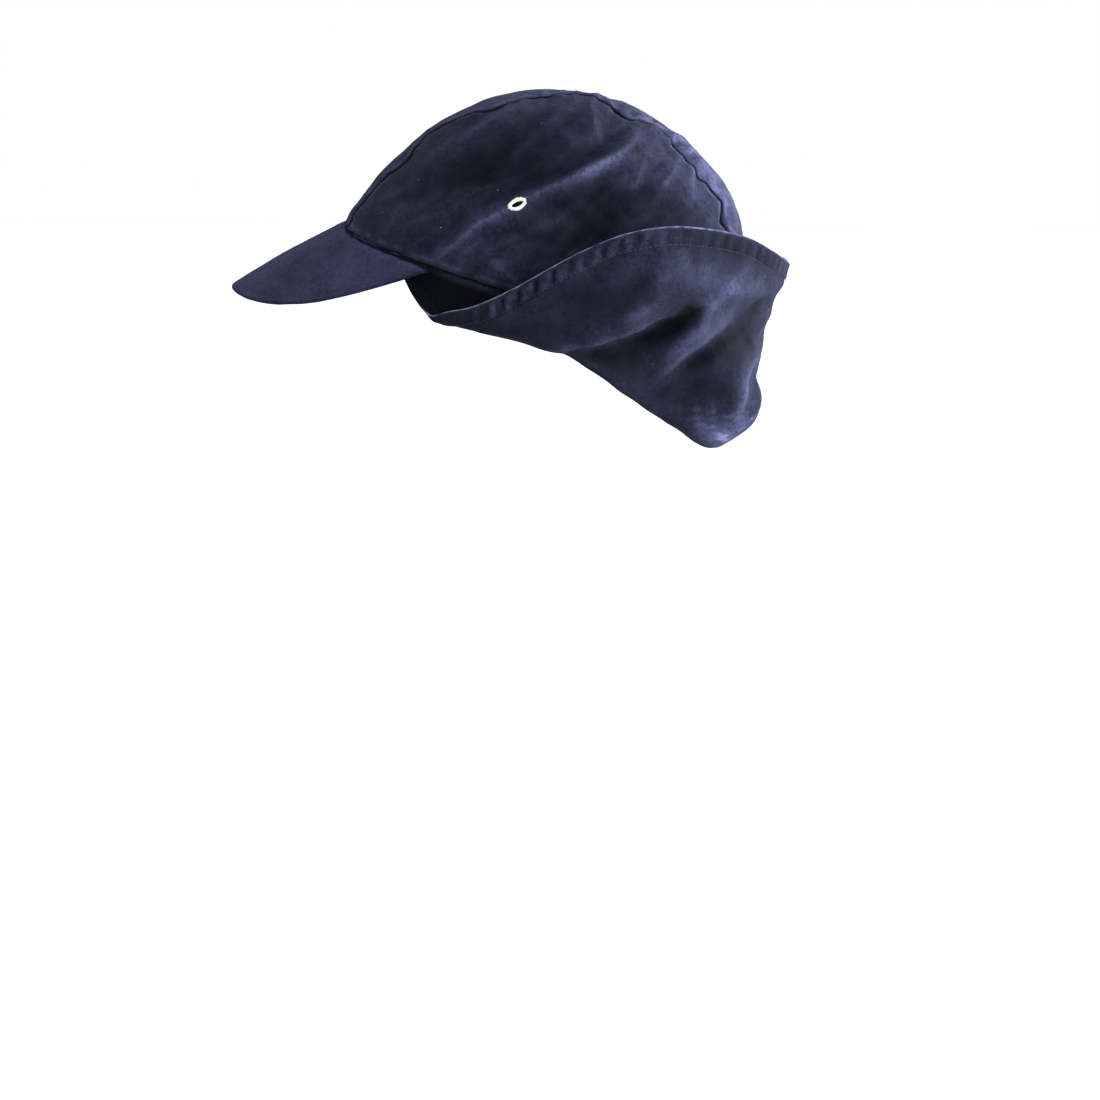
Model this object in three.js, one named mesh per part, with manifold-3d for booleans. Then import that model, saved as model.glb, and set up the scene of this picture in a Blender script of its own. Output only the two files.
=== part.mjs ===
// Desert cap as it is worn, in millimetres.
// +X is the wearer's left, -Y is the front with the peak, +Z is up.
// The origin is the middle of the head opening.

import * as THREE from 'three';
import Module from 'manifold-3d';

// Cloth and gaps
const CLOTH = 1.5;                // thickness of one wall of cloth
const SEAM_GAP = 0.4;             // space between two pieces along a seam
const TAU = Math.PI * 2;

// Crown: half width of the head opening and how square the arch across the head is
const HALF_WIDTH = 81;
const ARCH_POWER = 2.3;

// Side outline of the crown: radius from the origin at an angle from the front, in degrees
const CROWN_PROFILE = [
  { angle: -90, radius: 140 },
  { angle: -30, radius: 120 },
  { angle: 0, radius: 109 },
  { angle: 16, radius: 104 },
  { angle: 27, radius: 98.8 },
  { angle: 42, radius: 95.9 },
  { angle: 56, radius: 95.2 },
  { angle: 76, radius: 97.0 },
  { angle: 96, radius: 99.6 },
  { angle: 109, radius: 101.9 },
  { angle: 120, radius: 104.2 },
  { angle: 134, radius: 106.2 },
  { angle: 147, radius: 109.4 },
  { angle: 158, radius: 113.3 },
  { angle: 167, radius: 114.2 },
  { angle: 180, radius: 111.5 },
  { angle: 200, radius: 105 },
  { angle: 270, radius: 140 },
];

// Bottom seam of the crown: height against Y, with a small arch over the forehead
const BASE_HEIGHT = -4.8;
const BASE_SLOPE = -0.305;
const BASE_BEND = 0.0001;
const FOREHEAD_ARCH = 4.8;
const FOREHEAD_WIDTH = 28;

// Centre strip: half width, and the waves of its two seams
const STRIP_HALF = 24.5;
const WAVE_SIDEWAYS = 0.6;        // share of a wave that moves the seam sideways
const WAVE_LIFT = -0.12;          // share of a wave that raises or lowers the seam
const WAVE_REACH = 12;            // how far from the seam a wave's height fades out
const RIGHT_WAVE_TURN = 9;        // the right seam's waves sit this many degrees further back
const RIGHT_WAVE_SHARE = 0.6;
const SEAM_WAVES = [
  { angle: 17.9, shift: 6.8, width: 2.1 },
  { angle: 43.5, shift: 10.2, width: 6.5 },
  { angle: 55.3, shift: -5.0, width: 13.5 },
  { angle: 79.2, shift: 12.8, width: 7.1 },
  { angle: 113.8, shift: -18.0, width: 13.8 },
  { angle: 118.9, shift: 19.2, width: 7.2 },
  { angle: 131.3, shift: -8.6, width: 4.6 },
  { angle: 148.8, shift: 6.7, width: 4.3 },
  { angle: 163, shift: 12.0, width: 3.0 },
];
const SEAM_TUCK = 1.1;            // how far the cloth dips into a seam
const TUCK_REACH = 5;

// Folds of the crown: a ridge (or a hollow, where the height is negative) between two places
// of the side view, on the left side (1), the right side (-1) or both (0)
const CROWN_FOLDS = [
  { side: 1, y0: -45, z0: 19, y1: -6, z1: 39, width: 8, height: 2.6 },
  { side: 1, y0: 0, z0: 46, y1: 36, z1: 58, width: 8, height: 2.6 },
  { side: 1, y0: 36, z0: 58, y1: 55, z1: 74, width: 8, height: 2.2 },
  { side: 1, y0: -37, z0: 74, y1: -2, z1: 92, width: 7, height: 1.8 },
  { side: 1, y0: -58, z0: 56, y1: 10, z1: 82, width: 8, height: -2.2 },
  { side: 1, y0: 18, z0: 38, y1: 60, z1: 48, width: 11, height: -2.2 },
  { side: 1, y0: 32, z0: 70, y1: 34, z1: 68, width: 7, height: -2.0 },
  { side: 1, y0: 84, z0: 64, y1: 86, z1: 46, width: 5, height: 1.6 },
  { side: -1, y0: -52, z0: 26, y1: 8, z1: 44, width: 8, height: 2.4 },
  { side: -1, y0: 14, z0: 50, y1: 62, z1: 66, width: 8, height: 2.2 },
  { side: -1, y0: -50, z0: 52, y1: 6, z1: 76, width: 9, height: -2.0 },
  { side: -1, y0: 24, z0: 30, y1: 70, z1: 44, width: 11, height: -2.0 },
];
const FOLD_TOP_START = 14;        // folds fade in between these distances from the middle
const FOLD_TOP_END = 30;
const FOLD_BASE_START = 2;        // and between these heights above the bottom seam
const FOLD_BASE_END = 14;

// Peak: length ahead of its ends, arch and slope
const PEAK_END = 58;              // where it ends on the bottom seam, degrees from the front
const PEAK_LENGTH = 114;          // from its ends to its tip, along Y
const PEAK_POWER = 2.2;           // how blunt its front edge is
const PEAK_ROOT_HEIGHT = 29.4;    // height of its middle line at the forehead
const PEAK_ROOT_Y = -99.8;
const PEAK_SLOPE = 0.546;
const PEAK_BEND = 0.0022;         // how that slope eases off behind the root
const PEAK_WALL = 2.2;
const PEAK_CROWN = 1.2;           // how far its middle bulges above a straight line
const PEAK_DROP = 0.7;            // its root sits this far below the seam

// Neck flap: sections at angles around the head from the front, in degrees.
// Each runs from the seam down to the fold and up again over three places to the hem,
// given as a distance from the origin's upright axis (r) and a height (z).
// The inset tucks the top edge in behind the end of the peak.
const FLAP_SECTIONS = [
  { angle: 44, inset: 4, foldR: 89, foldZ: 10.6, lowR: 89, lowZ: 9.8,
    bellyR: 89, bellyZ: 9, hemR: 89, hemZ: 8.2 },
  { angle: 50, inset: 4, foldR: 88, foldZ: 2.5, lowR: 88, lowZ: 0,
    bellyR: 88.2, bellyZ: -2.5, hemR: 88.4, hemZ: -5 },
  { angle: 56, inset: 3.8, foldR: 87.2, foldZ: -5.5, lowR: 87.4, lowZ: -8.6,
    bellyR: 88.2, bellyZ: -11.4, hemR: 89.6, hemZ: -13 },
  { angle: 61, inset: 2.4, foldR: 87, foldZ: -13.2, lowR: 89, lowZ: -16.2,
    bellyR: 91.4, bellyZ: -16.4, hemR: 92.8, hemZ: -14 },
  { angle: 67, inset: 0.6, foldR: 86.6, foldZ: -17.2, lowR: 90.2, lowZ: -18.6,
    bellyR: 93.2, bellyZ: -16, hemR: 94.4, hemZ: -11.6 },
  { angle: 76, inset: 0, foldR: 85.4, foldZ: -21.2, lowR: 91, lowZ: -20.4,
    bellyR: 95.2, bellyZ: -16, hemR: 96.6, hemZ: -8.4 },
  { angle: 88, inset: 0, foldR: 85.2, foldZ: -25.6, lowR: 92.6, lowZ: -24,
    bellyR: 98, bellyZ: -14, hemR: 99.2, hemZ: 0.6 },
  { angle: 102, inset: 0, foldR: 87, foldZ: -30.6, lowR: 96, lowZ: -30,
    bellyR: 104, bellyZ: -18, hemR: 105, hemZ: 14.8 },
  { angle: 109, inset: 0, foldR: 89, foldZ: -36.4, lowR: 96, lowZ: -24,
    bellyR: 108.6, bellyZ: -24.4, hemR: 109.4, hemZ: 21.8 },
  { angle: 118, inset: 0, foldR: 90, foldZ: -45.4, lowR: 96.5, lowZ: -19,
    bellyR: 113.4, bellyZ: -21.6, hemR: 115.4, hemZ: 29 },
  { angle: 128, inset: 0, foldR: 90.4, foldZ: -55.6, lowR: 102, lowZ: -14,
    bellyR: 117.4, bellyZ: -12, hemR: 122.6, hemZ: 32.4 },
  { angle: 138, inset: 0, foldR: 90.6, foldZ: -65, lowR: 112, lowZ: -30,
    bellyR: 120, bellyZ: -9, hemR: 127.2, hemZ: 30.8 },
  { angle: 150, inset: 0, foldR: 91.4, foldZ: -75, lowR: 119, lowZ: -54,
    bellyR: 121, bellyZ: -18, hemR: 130.2, hemZ: 24.8 },
  { angle: 163, inset: 0, foldR: 96, foldZ: -86, lowR: 124.4, lowZ: -69,
    bellyR: 119.8, bellyZ: -31, hemR: 132.6, hemZ: 15.8 },
  { angle: 172, inset: 0, foldR: 99, foldZ: -88.6, lowR: 120, lowZ: -70,
    bellyR: 119.6, bellyZ: -36, hemR: 134.4, hemZ: 10.4 },
  { angle: 180, inset: 0, foldR: 100, foldZ: -89, lowR: 116, lowZ: -70,
    bellyR: 119.6, bellyZ: -38, hemR: 136.2, hemZ: 6.6 },
];
const INNER_SHARE = 0.55;         // where between seam and fold the inner wall is placed
const INNER_HOLLOW = 1.5;         // how far it lies inside the straight line there
const FLAP_DROP = 0.6;            // its top edge sits this far below the seam
const RIGHT_HEM_DROP = 11;        // the hem hangs this much lower on the right
const RIGHT_DROP_REACH = 30;      // degrees from centre back over which that drop grows
const DROP_START = 90;            // it also grows between these angles from the front
const DROP_END = 120;

// Folds of the turned-up cuff, in the side view like those of the crown. They grow between
// these shares of the way from seam to hem.
const CUFF_FOLD_START = 0.45;
const CUFF_FOLD_END = 0.65;
const CUFF_FOLDS = [
  { side: 0, y0: 60, z0: -52, y1: 84, z1: -34, width: 8, height: 4.0 },
  { side: 0, y0: 84, z0: -34, y1: 116, z1: -14, width: 8, height: 4.0 },
  { side: 0, y0: 92, z0: -50, y1: 110, z1: -34, width: 10, height: -4.0 },
  { side: 0, y0: 64, z0: -28, y1: 84, z1: -20, width: 9, height: -4.0 },
];

// Eyelets: an oval stitched ring through each side panel
const EYELET_Y = -1.8;
const EYELET_Z = 40.7;
const EYELET_LONG = 4.95;         // half length and half width of its outer oval
const EYELET_SHORT = 3.8;
const EYELET_HOLE_LONG = 3.1;     // half length and half width of its hole
const EYELET_HOLE_SHORT = 1.3;
const EYELET_ROUNDING = 0.25;     // share of the band that its rounded edges take
const EYELET_PROUD = 0.5;         // how far the band stands above the cloth, on both faces
const EYELET_TILT = 31;           // degrees that its long side rises toward the back
const HOLE_CLEARANCE = 0.3;
const PLUG_REACH = 4;             // the hole's cutter reaches this many walls each way

// Number of cells of each grid
const CELLS_ALONG = 48;
const CELLS_STRIP = 5;
const CELLS_SIDE = 10;
const CELLS_AROUND = 60;
const CELLS_SECTION = 20;
const CELLS_PEAK = 22;
const CELLS_PEAK_DEEP = 5;
const CELLS_OVAL = 20;

// Steps of the searches and slopes
const SLOPE_STEP = 0.004;
const HALVINGS = 30;
const REPEATS = 12;
const FRONT_SEARCH = { high: 60, low: -20 };
const BACK_SEARCH = { high: 140, low: 230 };

// Materials
const NAVY_CLOTH = { color: 0x26283f, roughness: 0.96, metalness: 0.0 };
const PEAK_CLOTH = { color: 0x292b42, roughness: 0.96, metalness: 0.0 };
const WHITE_THREAD = { color: 0xe6e6df, roughness: 0.85, metalness: 0.0 };

const radians = (degrees) => degrees * Math.PI / 180;
const mix = (a, b, share) => a + (b - a) * share;
const bell = (distance, width) => Math.exp(-((distance / width) ** 2));

function fade(from, to, value) {
  const t = THREE.MathUtils.clamp((value - from) / (to - from), 0, 1);
  return t * t * (3 - 2 * t);
}

// Smooth curve through one column of a table
function sample(rows, key, column, at) {
  let next = 1;
  while (next < rows.length - 1 && rows[next][key] < at) next += 1;
  const slope = (index) => {
    const before = rows[Math.max(index - 1, 0)];
    const after = rows[Math.min(index + 1, rows.length - 1)];
    return (after[column] - before[column]) / (after[key] - before[key]);
  };
  const left = rows[next - 1];
  const right = rows[next];
  const span = right[key] - left[key];
  const t = THREE.MathUtils.clamp((at - left[key]) / span, 0, 1);
  const t2 = t * t;
  const t3 = t2 * t;
  return left[column] * (2 * t3 - 3 * t2 + 1)
    + slope(next - 1) * span * (t3 - 2 * t2 + t)
    + right[column] * (3 * t2 - 2 * t3)
    + slope(next) * span * (t3 - t2);
}

// Height of a table of folds at a point, by its distance from each fold in the side view
function foldHeight(folds, x, y, z) {
  let height = 0;
  for (const fold of folds) {
    if (fold.side !== 0 && fold.side * x <= 0) continue;
    const alongY = fold.y1 - fold.y0;
    const alongZ = fold.z1 - fold.z0;
    const length2 = alongY * alongY + alongZ * alongZ;
    const share = ((y - fold.y0) * alongY + (z - fold.z0) * alongZ) / length2;
    const t = THREE.MathUtils.clamp(share, 0, 1);
    const distance = Math.hypot(y - fold.y0 - alongY * t, z - fold.z0 - alongZ * t);
    height += fold.height * bell(distance, fold.width);
  }
  return height;
}

// Sum of the seam's waves at an angle on one side
function seamWave(angle, side) {
  const turn = side < 0 ? RIGHT_WAVE_TURN : 0;
  const share = side < 0 ? RIGHT_WAVE_SHARE : 1;
  let shift = 0;
  for (const wave of SEAM_WAVES) shift += wave.shift * bell(angle - turn - wave.angle, wave.width);
  return shift * share;
}

const stripHalf = (angle, side) => STRIP_HALF + WAVE_SIDEWAYS * seamWave(angle, side);

function baseHeight(x, y) {
  const arch = y < 0 ? FOREHEAD_ARCH * bell(x, FOREHEAD_WIDTH) : 0;
  return BASE_HEIGHT + BASE_SLOPE * y + BASE_BEND * y * y + arch;
}

// Angle of a place over the head: 0 at the front, 90 at the top, 180 at the back
function headAngle(y, z) {
  const angle = THREE.MathUtils.radToDeg(Math.atan2(z, -y));
  return angle < -90 ? angle + 360 : angle;
}

// Relief of the crown's cloth: seam tucks, seam waves and folds
function crownRelief(p) {
  const side = Math.sign(p.x) || 1;
  const angle = headAngle(p.y, p.z);
  const fromSeam = Math.abs(p.x) - stripHalf(angle, side);
  const fromBase = p.z - baseHeight(p.x, p.y);
  const lift = WAVE_LIFT * seamWave(angle, side) * bell(fromSeam, WAVE_REACH);
  const tuck = SEAM_TUCK * (bell(fromSeam, TUCK_REACH) + bell(fromBase, TUCK_REACH));
  const low = fade(FOLD_BASE_START, FOLD_BASE_END, fromBase);
  const folds = foldHeight(CROWN_FOLDS, p.x, p.y, p.z)
    * fade(FOLD_TOP_START, FOLD_TOP_END, Math.abs(p.x)) * low;
  return lift * low - tuck + folds;
}

// Outer face of the crown in a direction from the origin
function crownPoint(direction, withRelief = true) {
  const upright = Math.hypot(direction.y, direction.z);
  const radius = sample(CROWN_PROFILE, 'angle', 'radius', headAngle(direction.y, direction.z));
  const across = (Math.abs(direction.x) / HALF_WIDTH) ** ARCH_POWER;
  const over = (upright / radius) ** ARCH_POWER;
  const point = direction.clone().multiplyScalar((across + over) ** (-1 / ARCH_POWER));
  if (withRelief) point.setLength(point.length() + crownRelief(point));
  return point;
}

function crownNormal(direction) {
  const step = SLOPE_STEP;
  const d = direction.clone().normalize();
  const side = new THREE.Vector3(0, -d.z, d.y);
  if (side.length() < 0.1) side.set(0, 1, 0);
  side.normalize();
  const other = new THREE.Vector3().crossVectors(d, side).normalize();
  const tangent = (axis) => crownPoint(d.clone().addScaledVector(axis, step))
    .sub(crownPoint(d.clone().addScaledVector(axis, -step)));
  const normal = new THREE.Vector3().crossVectors(tangent(side), tangent(other)).normalize();
  return normal.dot(d) < 0 ? normal.negate() : normal;
}

// Place on the crown at an angle over the head and a distance from the middle
function crownAt(angle, x) {
  const radius = sample(CROWN_PROFILE, 'angle', 'radius', angle);
  const over = (1 - (Math.abs(x) / HALF_WIDTH) ** ARCH_POWER) ** (1 / ARCH_POWER) * radius;
  return new THREE.Vector3(x, -over * Math.cos(radians(angle)), over * Math.sin(radians(angle)));
}

// Angle over the head at which the strip's place v (1 left seam, -1 right seam) meets the base
function stripEnd(v, front, lift) {
  let { high, low } = front ? FRONT_SEARCH : BACK_SEARCH;
  for (let step = 0; step < HALVINGS; step += 1) {
    const middle = (low + high) / 2;
    const p = crownAt(middle, v * stripHalf(middle, v));
    if (p.z > baseHeight(p.x, p.y) + lift) high = middle;
    else low = middle;
  }
  return (low + high) / 2;
}

// Place on the crown's bottom seam at an angle around the head, raised by a lift
function basePoint(around, lift) {
  const turn = radians(around);
  const direction = new THREE.Vector3(Math.sin(turn), -Math.cos(turn), 0);
  let point = crownPoint(direction, false);
  for (let step = 0; step < REPEATS; step += 1) {
    direction.z = (baseHeight(point.x, point.y) + lift) / Math.hypot(point.x, point.y);
    point = crownPoint(direction, false);
  }
  return point;
}

// Closed body between an outer and an inner grid of places.
// Where an end of the grid shrinks to one place, its column of cells is closed there.
function gridBody(outer, inner, pinched) {
  const alongCells = outer.length - 1;
  const acrossCells = outer[0].length - 1;
  const positions = [];
  const numbered = (grid) => grid.map((column, i) => {
    const single = pinched && (i === 0 || i === alongCells);
    let last = -1;
    return column.map((p, j) => {
      if (single && j > 0) return last;
      positions.push(p.x, p.y, p.z);
      last = positions.length / 3 - 1;
      return last;
    });
  });
  const top = numbered(outer);
  const under = numbered(inner);
  const triangles = [];
  const add = (a, b, c) => {
    if (a !== b && b !== c && c !== a) triangles.push(a, b, c);
  };
  const quad = (a, b, c, d) => {
    add(a, b, c);
    add(a, c, d);
  };
  for (let i = 0; i < alongCells; i += 1) {
    for (let j = 0; j < acrossCells; j += 1) {
      quad(top[i][j], top[i + 1][j], top[i + 1][j + 1], top[i][j + 1]);
      quad(under[i][j], under[i][j + 1], under[i + 1][j + 1], under[i + 1][j]);
    }
    quad(top[i][0], under[i][0], under[i + 1][0], top[i + 1][0]);
    quad(top[i + 1][acrossCells], under[i + 1][acrossCells], under[i][acrossCells],
      top[i][acrossCells]);
  }
  for (let j = 0; j < acrossCells; j += 1) {
    quad(top[0][j + 1], under[0][j + 1], under[0][j], top[0][j]);
    quad(top[alongCells][j], under[alongCells][j], under[alongCells][j + 1],
      top[alongCells][j + 1]);
  }
  const geometry = new THREE.BufferGeometry();
  geometry.setAttribute('position', new THREE.Float32BufferAttribute(positions, 3));
  geometry.setIndex(triangles);
  return faceOut(geometry);
}

// Turns the triangles over when the body faces inward
function faceOut(geometry) {
  const positions = geometry.attributes.position;
  const index = geometry.index;
  const corner = (k) => new THREE.Vector3().fromBufferAttribute(positions, index.getX(k));
  let volume = 0;
  for (let k = 0; k < index.count; k += 3) {
    volume += corner(k).dot(corner(k + 1).cross(corner(k + 2)));
  }
  if (volume < 0) {
    for (let k = 0; k < index.count; k += 3) {
      const second = index.getX(k + 1);
      index.setX(k + 1, index.getX(k + 2));
      index.setX(k + 2, second);
    }
  }
  geometry.computeVertexNormals();
  return geometry;
}

function grid(alongCells, acrossCells, place) {
  return Array.from({ length: alongCells + 1 }, (_, i) =>
    Array.from({ length: acrossCells + 1 }, (__, j) => place(i / alongCells, j / acrossCells)));
}

// Wall of the crown from a grid of places on it
function crownWall(places, pinched) {
  const outer = places.map((column) => column.map((p) => crownPoint(p)));
  const inner = places.map((column) => column.map((p) =>
    crownPoint(p).addScaledVector(crownNormal(p), -CLOTH)));
  return gridBody(outer, inner, pinched);
}

function centerPanel() {
  const place = (u, share) => {
    const v = mix(-1, 1, share);
    const angle = mix(stripEnd(v, true, SEAM_GAP / 2), stripEnd(v, false, SEAM_GAP / 2), u);
    return crownAt(angle, v * (stripHalf(angle, v) - SEAM_GAP / 2));
  };
  return crownWall(grid(CELLS_ALONG, CELLS_STRIP, place), false);
}

function sidePanel(side) {
  const front = stripEnd(side, true, SEAM_GAP / 2);
  const back = stripEnd(side, false, SEAM_GAP / 2);
  const corner = (angle) => crownAt(angle, side * (stripHalf(angle, side) + SEAM_GAP / 2));
  const around = (p) => THREE.MathUtils.radToDeg(Math.atan2(side * p.x, -p.y));
  const start = around(corner(front));
  const end = around(corner(back));
  const place = (u, v) => {
    const top = corner(mix(front, back, u));
    const base = basePoint(side * mix(start, end, u), SEAM_GAP / 2);
    return top.lerp(base, v);
  };
  return crownWall(grid(CELLS_ALONG, CELLS_SIDE, place), true);
}

// Outer face of the peak at its edge
function peakSurface() {
  const end = basePoint(PEAK_END, 0);
  const middle = (y) => {
    const behind = Math.max(y - PEAK_ROOT_Y, 0);
    return PEAK_ROOT_HEIGHT + PEAK_SLOPE * (y - PEAK_ROOT_Y) - PEAK_BEND * behind * behind;
  };
  const arch = (middle(end.y) - end.z + PEAK_DROP) / end.x ** 2;
  const height = (x, y) => middle(y) - arch * x * x;
  const normal = (x) => new THREE.Vector3(2 * arch * x, -PEAK_SLOPE, 1).normalize();
  return { end, height, normal };
}

function peak() {
  const { end, height, normal } = peakSurface();
  const place = (u, v) => {
    const across = mix(-1, 1, u);
    const turn = across * TAU / 4;
    const x = end.x * Math.sign(turn) * Math.abs(Math.sin(turn)) ** (2 / PEAK_POWER);
    const y = end.y - PEAK_LENGTH * Math.max(Math.cos(turn), 0) ** (2 / PEAK_POWER);
    const edge = new THREE.Vector3(x, y, height(x, y));
    const root = basePoint(across * PEAK_END, -PEAK_DROP);
    const bulge = PEAK_CROWN * Math.sin(Math.PI * v) * (1 - across * across);
    return root.lerp(edge, v).addScaledVector(normal(x), bulge);
  };
  const top = grid(CELLS_PEAK, CELLS_PEAK_DEEP, place);
  const under = top.map((column) => column.map((p) =>
    p.clone().addScaledVector(normal(p.x), -PEAK_WALL)));
  return gridBody(top, under, true);
}

// Middle of the flap's cloth: u goes around the head from the left end, v from seam to hem
function flapPoint(u, v) {
  const first = FLAP_SECTIONS[0].angle;
  const around = mix(first, 360 - first, u);
  const angle = around > 180 ? 360 - around : around;
  const column = (name) => sample(FLAP_SECTIONS, 'angle', name, angle);
  const rightward = fade(0, RIGHT_DROP_REACH, around - 180);
  const drop = RIGHT_HEM_DROP * rightward * fade(DROP_START, DROP_END, angle);
  const seam = basePoint(around, -FLAP_DROP);
  const seamR = Math.hypot(seam.x, seam.y) - column('inset') - CLOTH / 2;
  const foldR = column('foldR');
  const foldZ = column('foldZ');
  const stops = [
    [seamR, seam.z],
    [mix(seamR, foldR, INNER_SHARE) - INNER_HOLLOW, mix(seam.z, foldZ, INNER_SHARE)],
    [foldR, foldZ],
    [column('lowR'), column('lowZ')],
    [column('bellyR'), column('bellyZ')],
    [column('hemR'), column('hemZ') - drop],
  ];
  const rows = stops.map(([r, z], at) => ({ at, r, z }));
  const at = v * (rows.length - 1);
  const r = sample(rows, 'at', 'r', at);
  const turn = radians(around);
  return new THREE.Vector3(r * Math.sin(turn), -r * Math.cos(turn), sample(rows, 'at', 'z', at));
}

function flapNormal(u, v) {
  const step = SLOPE_STEP;
  const alongU = flapPoint(Math.min(u + step, 1), v).sub(flapPoint(Math.max(u - step, 0), v));
  const alongV = flapPoint(u, Math.min(v + step, 1)).sub(flapPoint(u, Math.max(v - step, 0)));
  return new THREE.Vector3().crossVectors(alongU, alongV).normalize();
}

function neckFlap() {
  const outer = [];
  const inner = [];
  for (let i = 0; i <= CELLS_AROUND; i += 1) {
    outer.push([]);
    inner.push([]);
    for (let j = 0; j <= CELLS_SECTION; j += 1) {
      const u = i / CELLS_AROUND;
      const v = j / CELLS_SECTION;
      const normal = flapNormal(u, v);
      const middle = flapPoint(u, v);
      const turnedUp = fade(CUFF_FOLD_START, CUFF_FOLD_END, v);
      const fold = foldHeight(CUFF_FOLDS, middle.x, middle.y, middle.z);
      middle.addScaledVector(normal, turnedUp * fold);
      outer[i].push(middle.clone().addScaledVector(normal, CLOTH / 2));
      inner[i].push(middle.clone().addScaledVector(normal, -CLOTH / 2));
    }
  }
  return gridBody(outer, inner, false);
}

// Frame on the side panel at the eyelet: out of the cloth, and along its long and short sides
function eyeletFrame(side) {
  const radius = sample(CROWN_PROFILE, 'angle', 'radius', headAngle(EYELET_Y, EYELET_Z));
  const over = (Math.hypot(EYELET_Y, EYELET_Z) / radius) ** ARCH_POWER;
  const x = side * HALF_WIDTH * (1 - over) ** (1 / ARCH_POWER);
  const direction = new THREE.Vector3(x, EYELET_Y, EYELET_Z);
  const out = crownNormal(direction);
  const tilt = radians(EYELET_TILT);
  const long = new THREE.Vector3(0, Math.cos(tilt), Math.sin(tilt));
  long.addScaledVector(out, -long.dot(out)).normalize();
  const short = new THREE.Vector3().crossVectors(out, long);
  return { origin: crownPoint(direction), out, long, short };
}

// Oval of places: share 0 is the ring's outer edge, 1 the edge of its hole
function ovalRing(side, share, height, clearance = 0) {
  const { origin, out, long, short } = eyeletFrame(side);
  const halfLong = mix(EYELET_LONG, EYELET_HOLE_LONG, share) + clearance;
  const halfShort = mix(EYELET_SHORT, EYELET_HOLE_SHORT, share) + clearance;
  return Array.from({ length: CELLS_OVAL }, (_, k) => {
    const turn = TAU * k / CELLS_OVAL;
    return origin.clone()
      .addScaledVector(long, halfLong * Math.cos(turn))
      .addScaledVector(short, halfShort * Math.sin(turn))
      .addScaledVector(out, height);
  });
}

// Body swept around an oval through rings of places, joined last to first.
// With ends it is a solid plug between the first and the last ring.
function ringBody(rings, closed) {
  const positions = [];
  const triangles = [];
  for (const ring of rings) for (const p of ring) positions.push(p.x, p.y, p.z);
  const links = closed ? rings.length : rings.length - 1;
  const id = (ring, k) => (ring % rings.length) * CELLS_OVAL + k % CELLS_OVAL;
  for (let ring = 0; ring < links; ring += 1) {
    for (let k = 0; k < CELLS_OVAL; k += 1) {
      triangles.push(id(ring, k), id(ring, k + 1), id(ring + 1, k + 1));
      triangles.push(id(ring, k), id(ring + 1, k + 1), id(ring + 1, k));
    }
  }
  if (!closed) {
    for (let k = 1; k < CELLS_OVAL - 1; k += 1) {
      triangles.push(id(0, 0), id(0, k + 1), id(0, k));
      triangles.push(id(links, 0), id(links, k), id(links, k + 1));
    }
  }
  const geometry = new THREE.BufferGeometry();
  geometry.setAttribute('position', new THREE.Float32BufferAttribute(positions, 3));
  geometry.setIndex(triangles);
  return faceOut(geometry);
}

function eyelet(side) {
  const top = EYELET_PROUD;
  const bottom = -CLOTH - EYELET_PROUD;
  const edge = EYELET_ROUNDING;
  const section = [
    [0, bottom + EYELET_PROUD],
    [0, top - EYELET_PROUD],
    [edge, top],
    [1 - edge, top],
    [1, top - EYELET_PROUD],
    [1, bottom + EYELET_PROUD],
    [1 - edge, bottom],
    [edge, bottom],
  ];
  return ringBody(section.map(([share, height]) => ovalRing(side, share, height)), true);
}

// Plug that cuts the eyelet's hole through the cloth
function eyeletPlug(side) {
  const reach = CLOTH * PLUG_REACH;
  return ringBody([-reach, reach].map((height) => ovalRing(side, 0, height, HOLE_CLEARANCE)), false);
}

const wasm = await Module();
wasm.setup();

const toManifold = (geometry) => new wasm.Manifold(new wasm.Mesh({
  numProp: 3,
  vertProperties: new Float32Array(geometry.attributes.position.array),
  triVerts: new Uint32Array(geometry.index.array),
}));

function withHole(panel, plug) {
  const mesh = toManifold(panel).subtract(toManifold(plug)).getMesh();
  const geometry = new THREE.BufferGeometry();
  geometry.setAttribute('position', new THREE.Float32BufferAttribute(mesh.vertProperties, 3));
  geometry.setIndex(new THREE.Uint32BufferAttribute(mesh.triVerts, 1));
  geometry.computeVertexNormals();
  return geometry;
}

const cap = new THREE.Group();
cap.name = 'desert_cap';

function addPiece(name, geometry, look) {
  const mesh = new THREE.Mesh(geometry, new THREE.MeshStandardMaterial(look));
  mesh.name = name;
  cap.add(mesh);
}

addPiece('crown_center_panel', centerPanel(), NAVY_CLOTH);
addPiece('crown_side_left', withHole(sidePanel(1), eyeletPlug(1)), NAVY_CLOTH);
addPiece('crown_side_right', withHole(sidePanel(-1), eyeletPlug(-1)), NAVY_CLOTH);
addPiece('peak', peak(), PEAK_CLOTH);
addPiece('neck_flap', neckFlap(), NAVY_CLOTH);
addPiece('eyelet_left', eyelet(1), WHITE_THREAD);
addPiece('eyelet_right', eyelet(-1), WHITE_THREAD);

export default cap;
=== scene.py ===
"""Desert cap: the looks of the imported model, in its own frame.

Sizes are in millimetres until a mesh is made.
"""

import math

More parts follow.
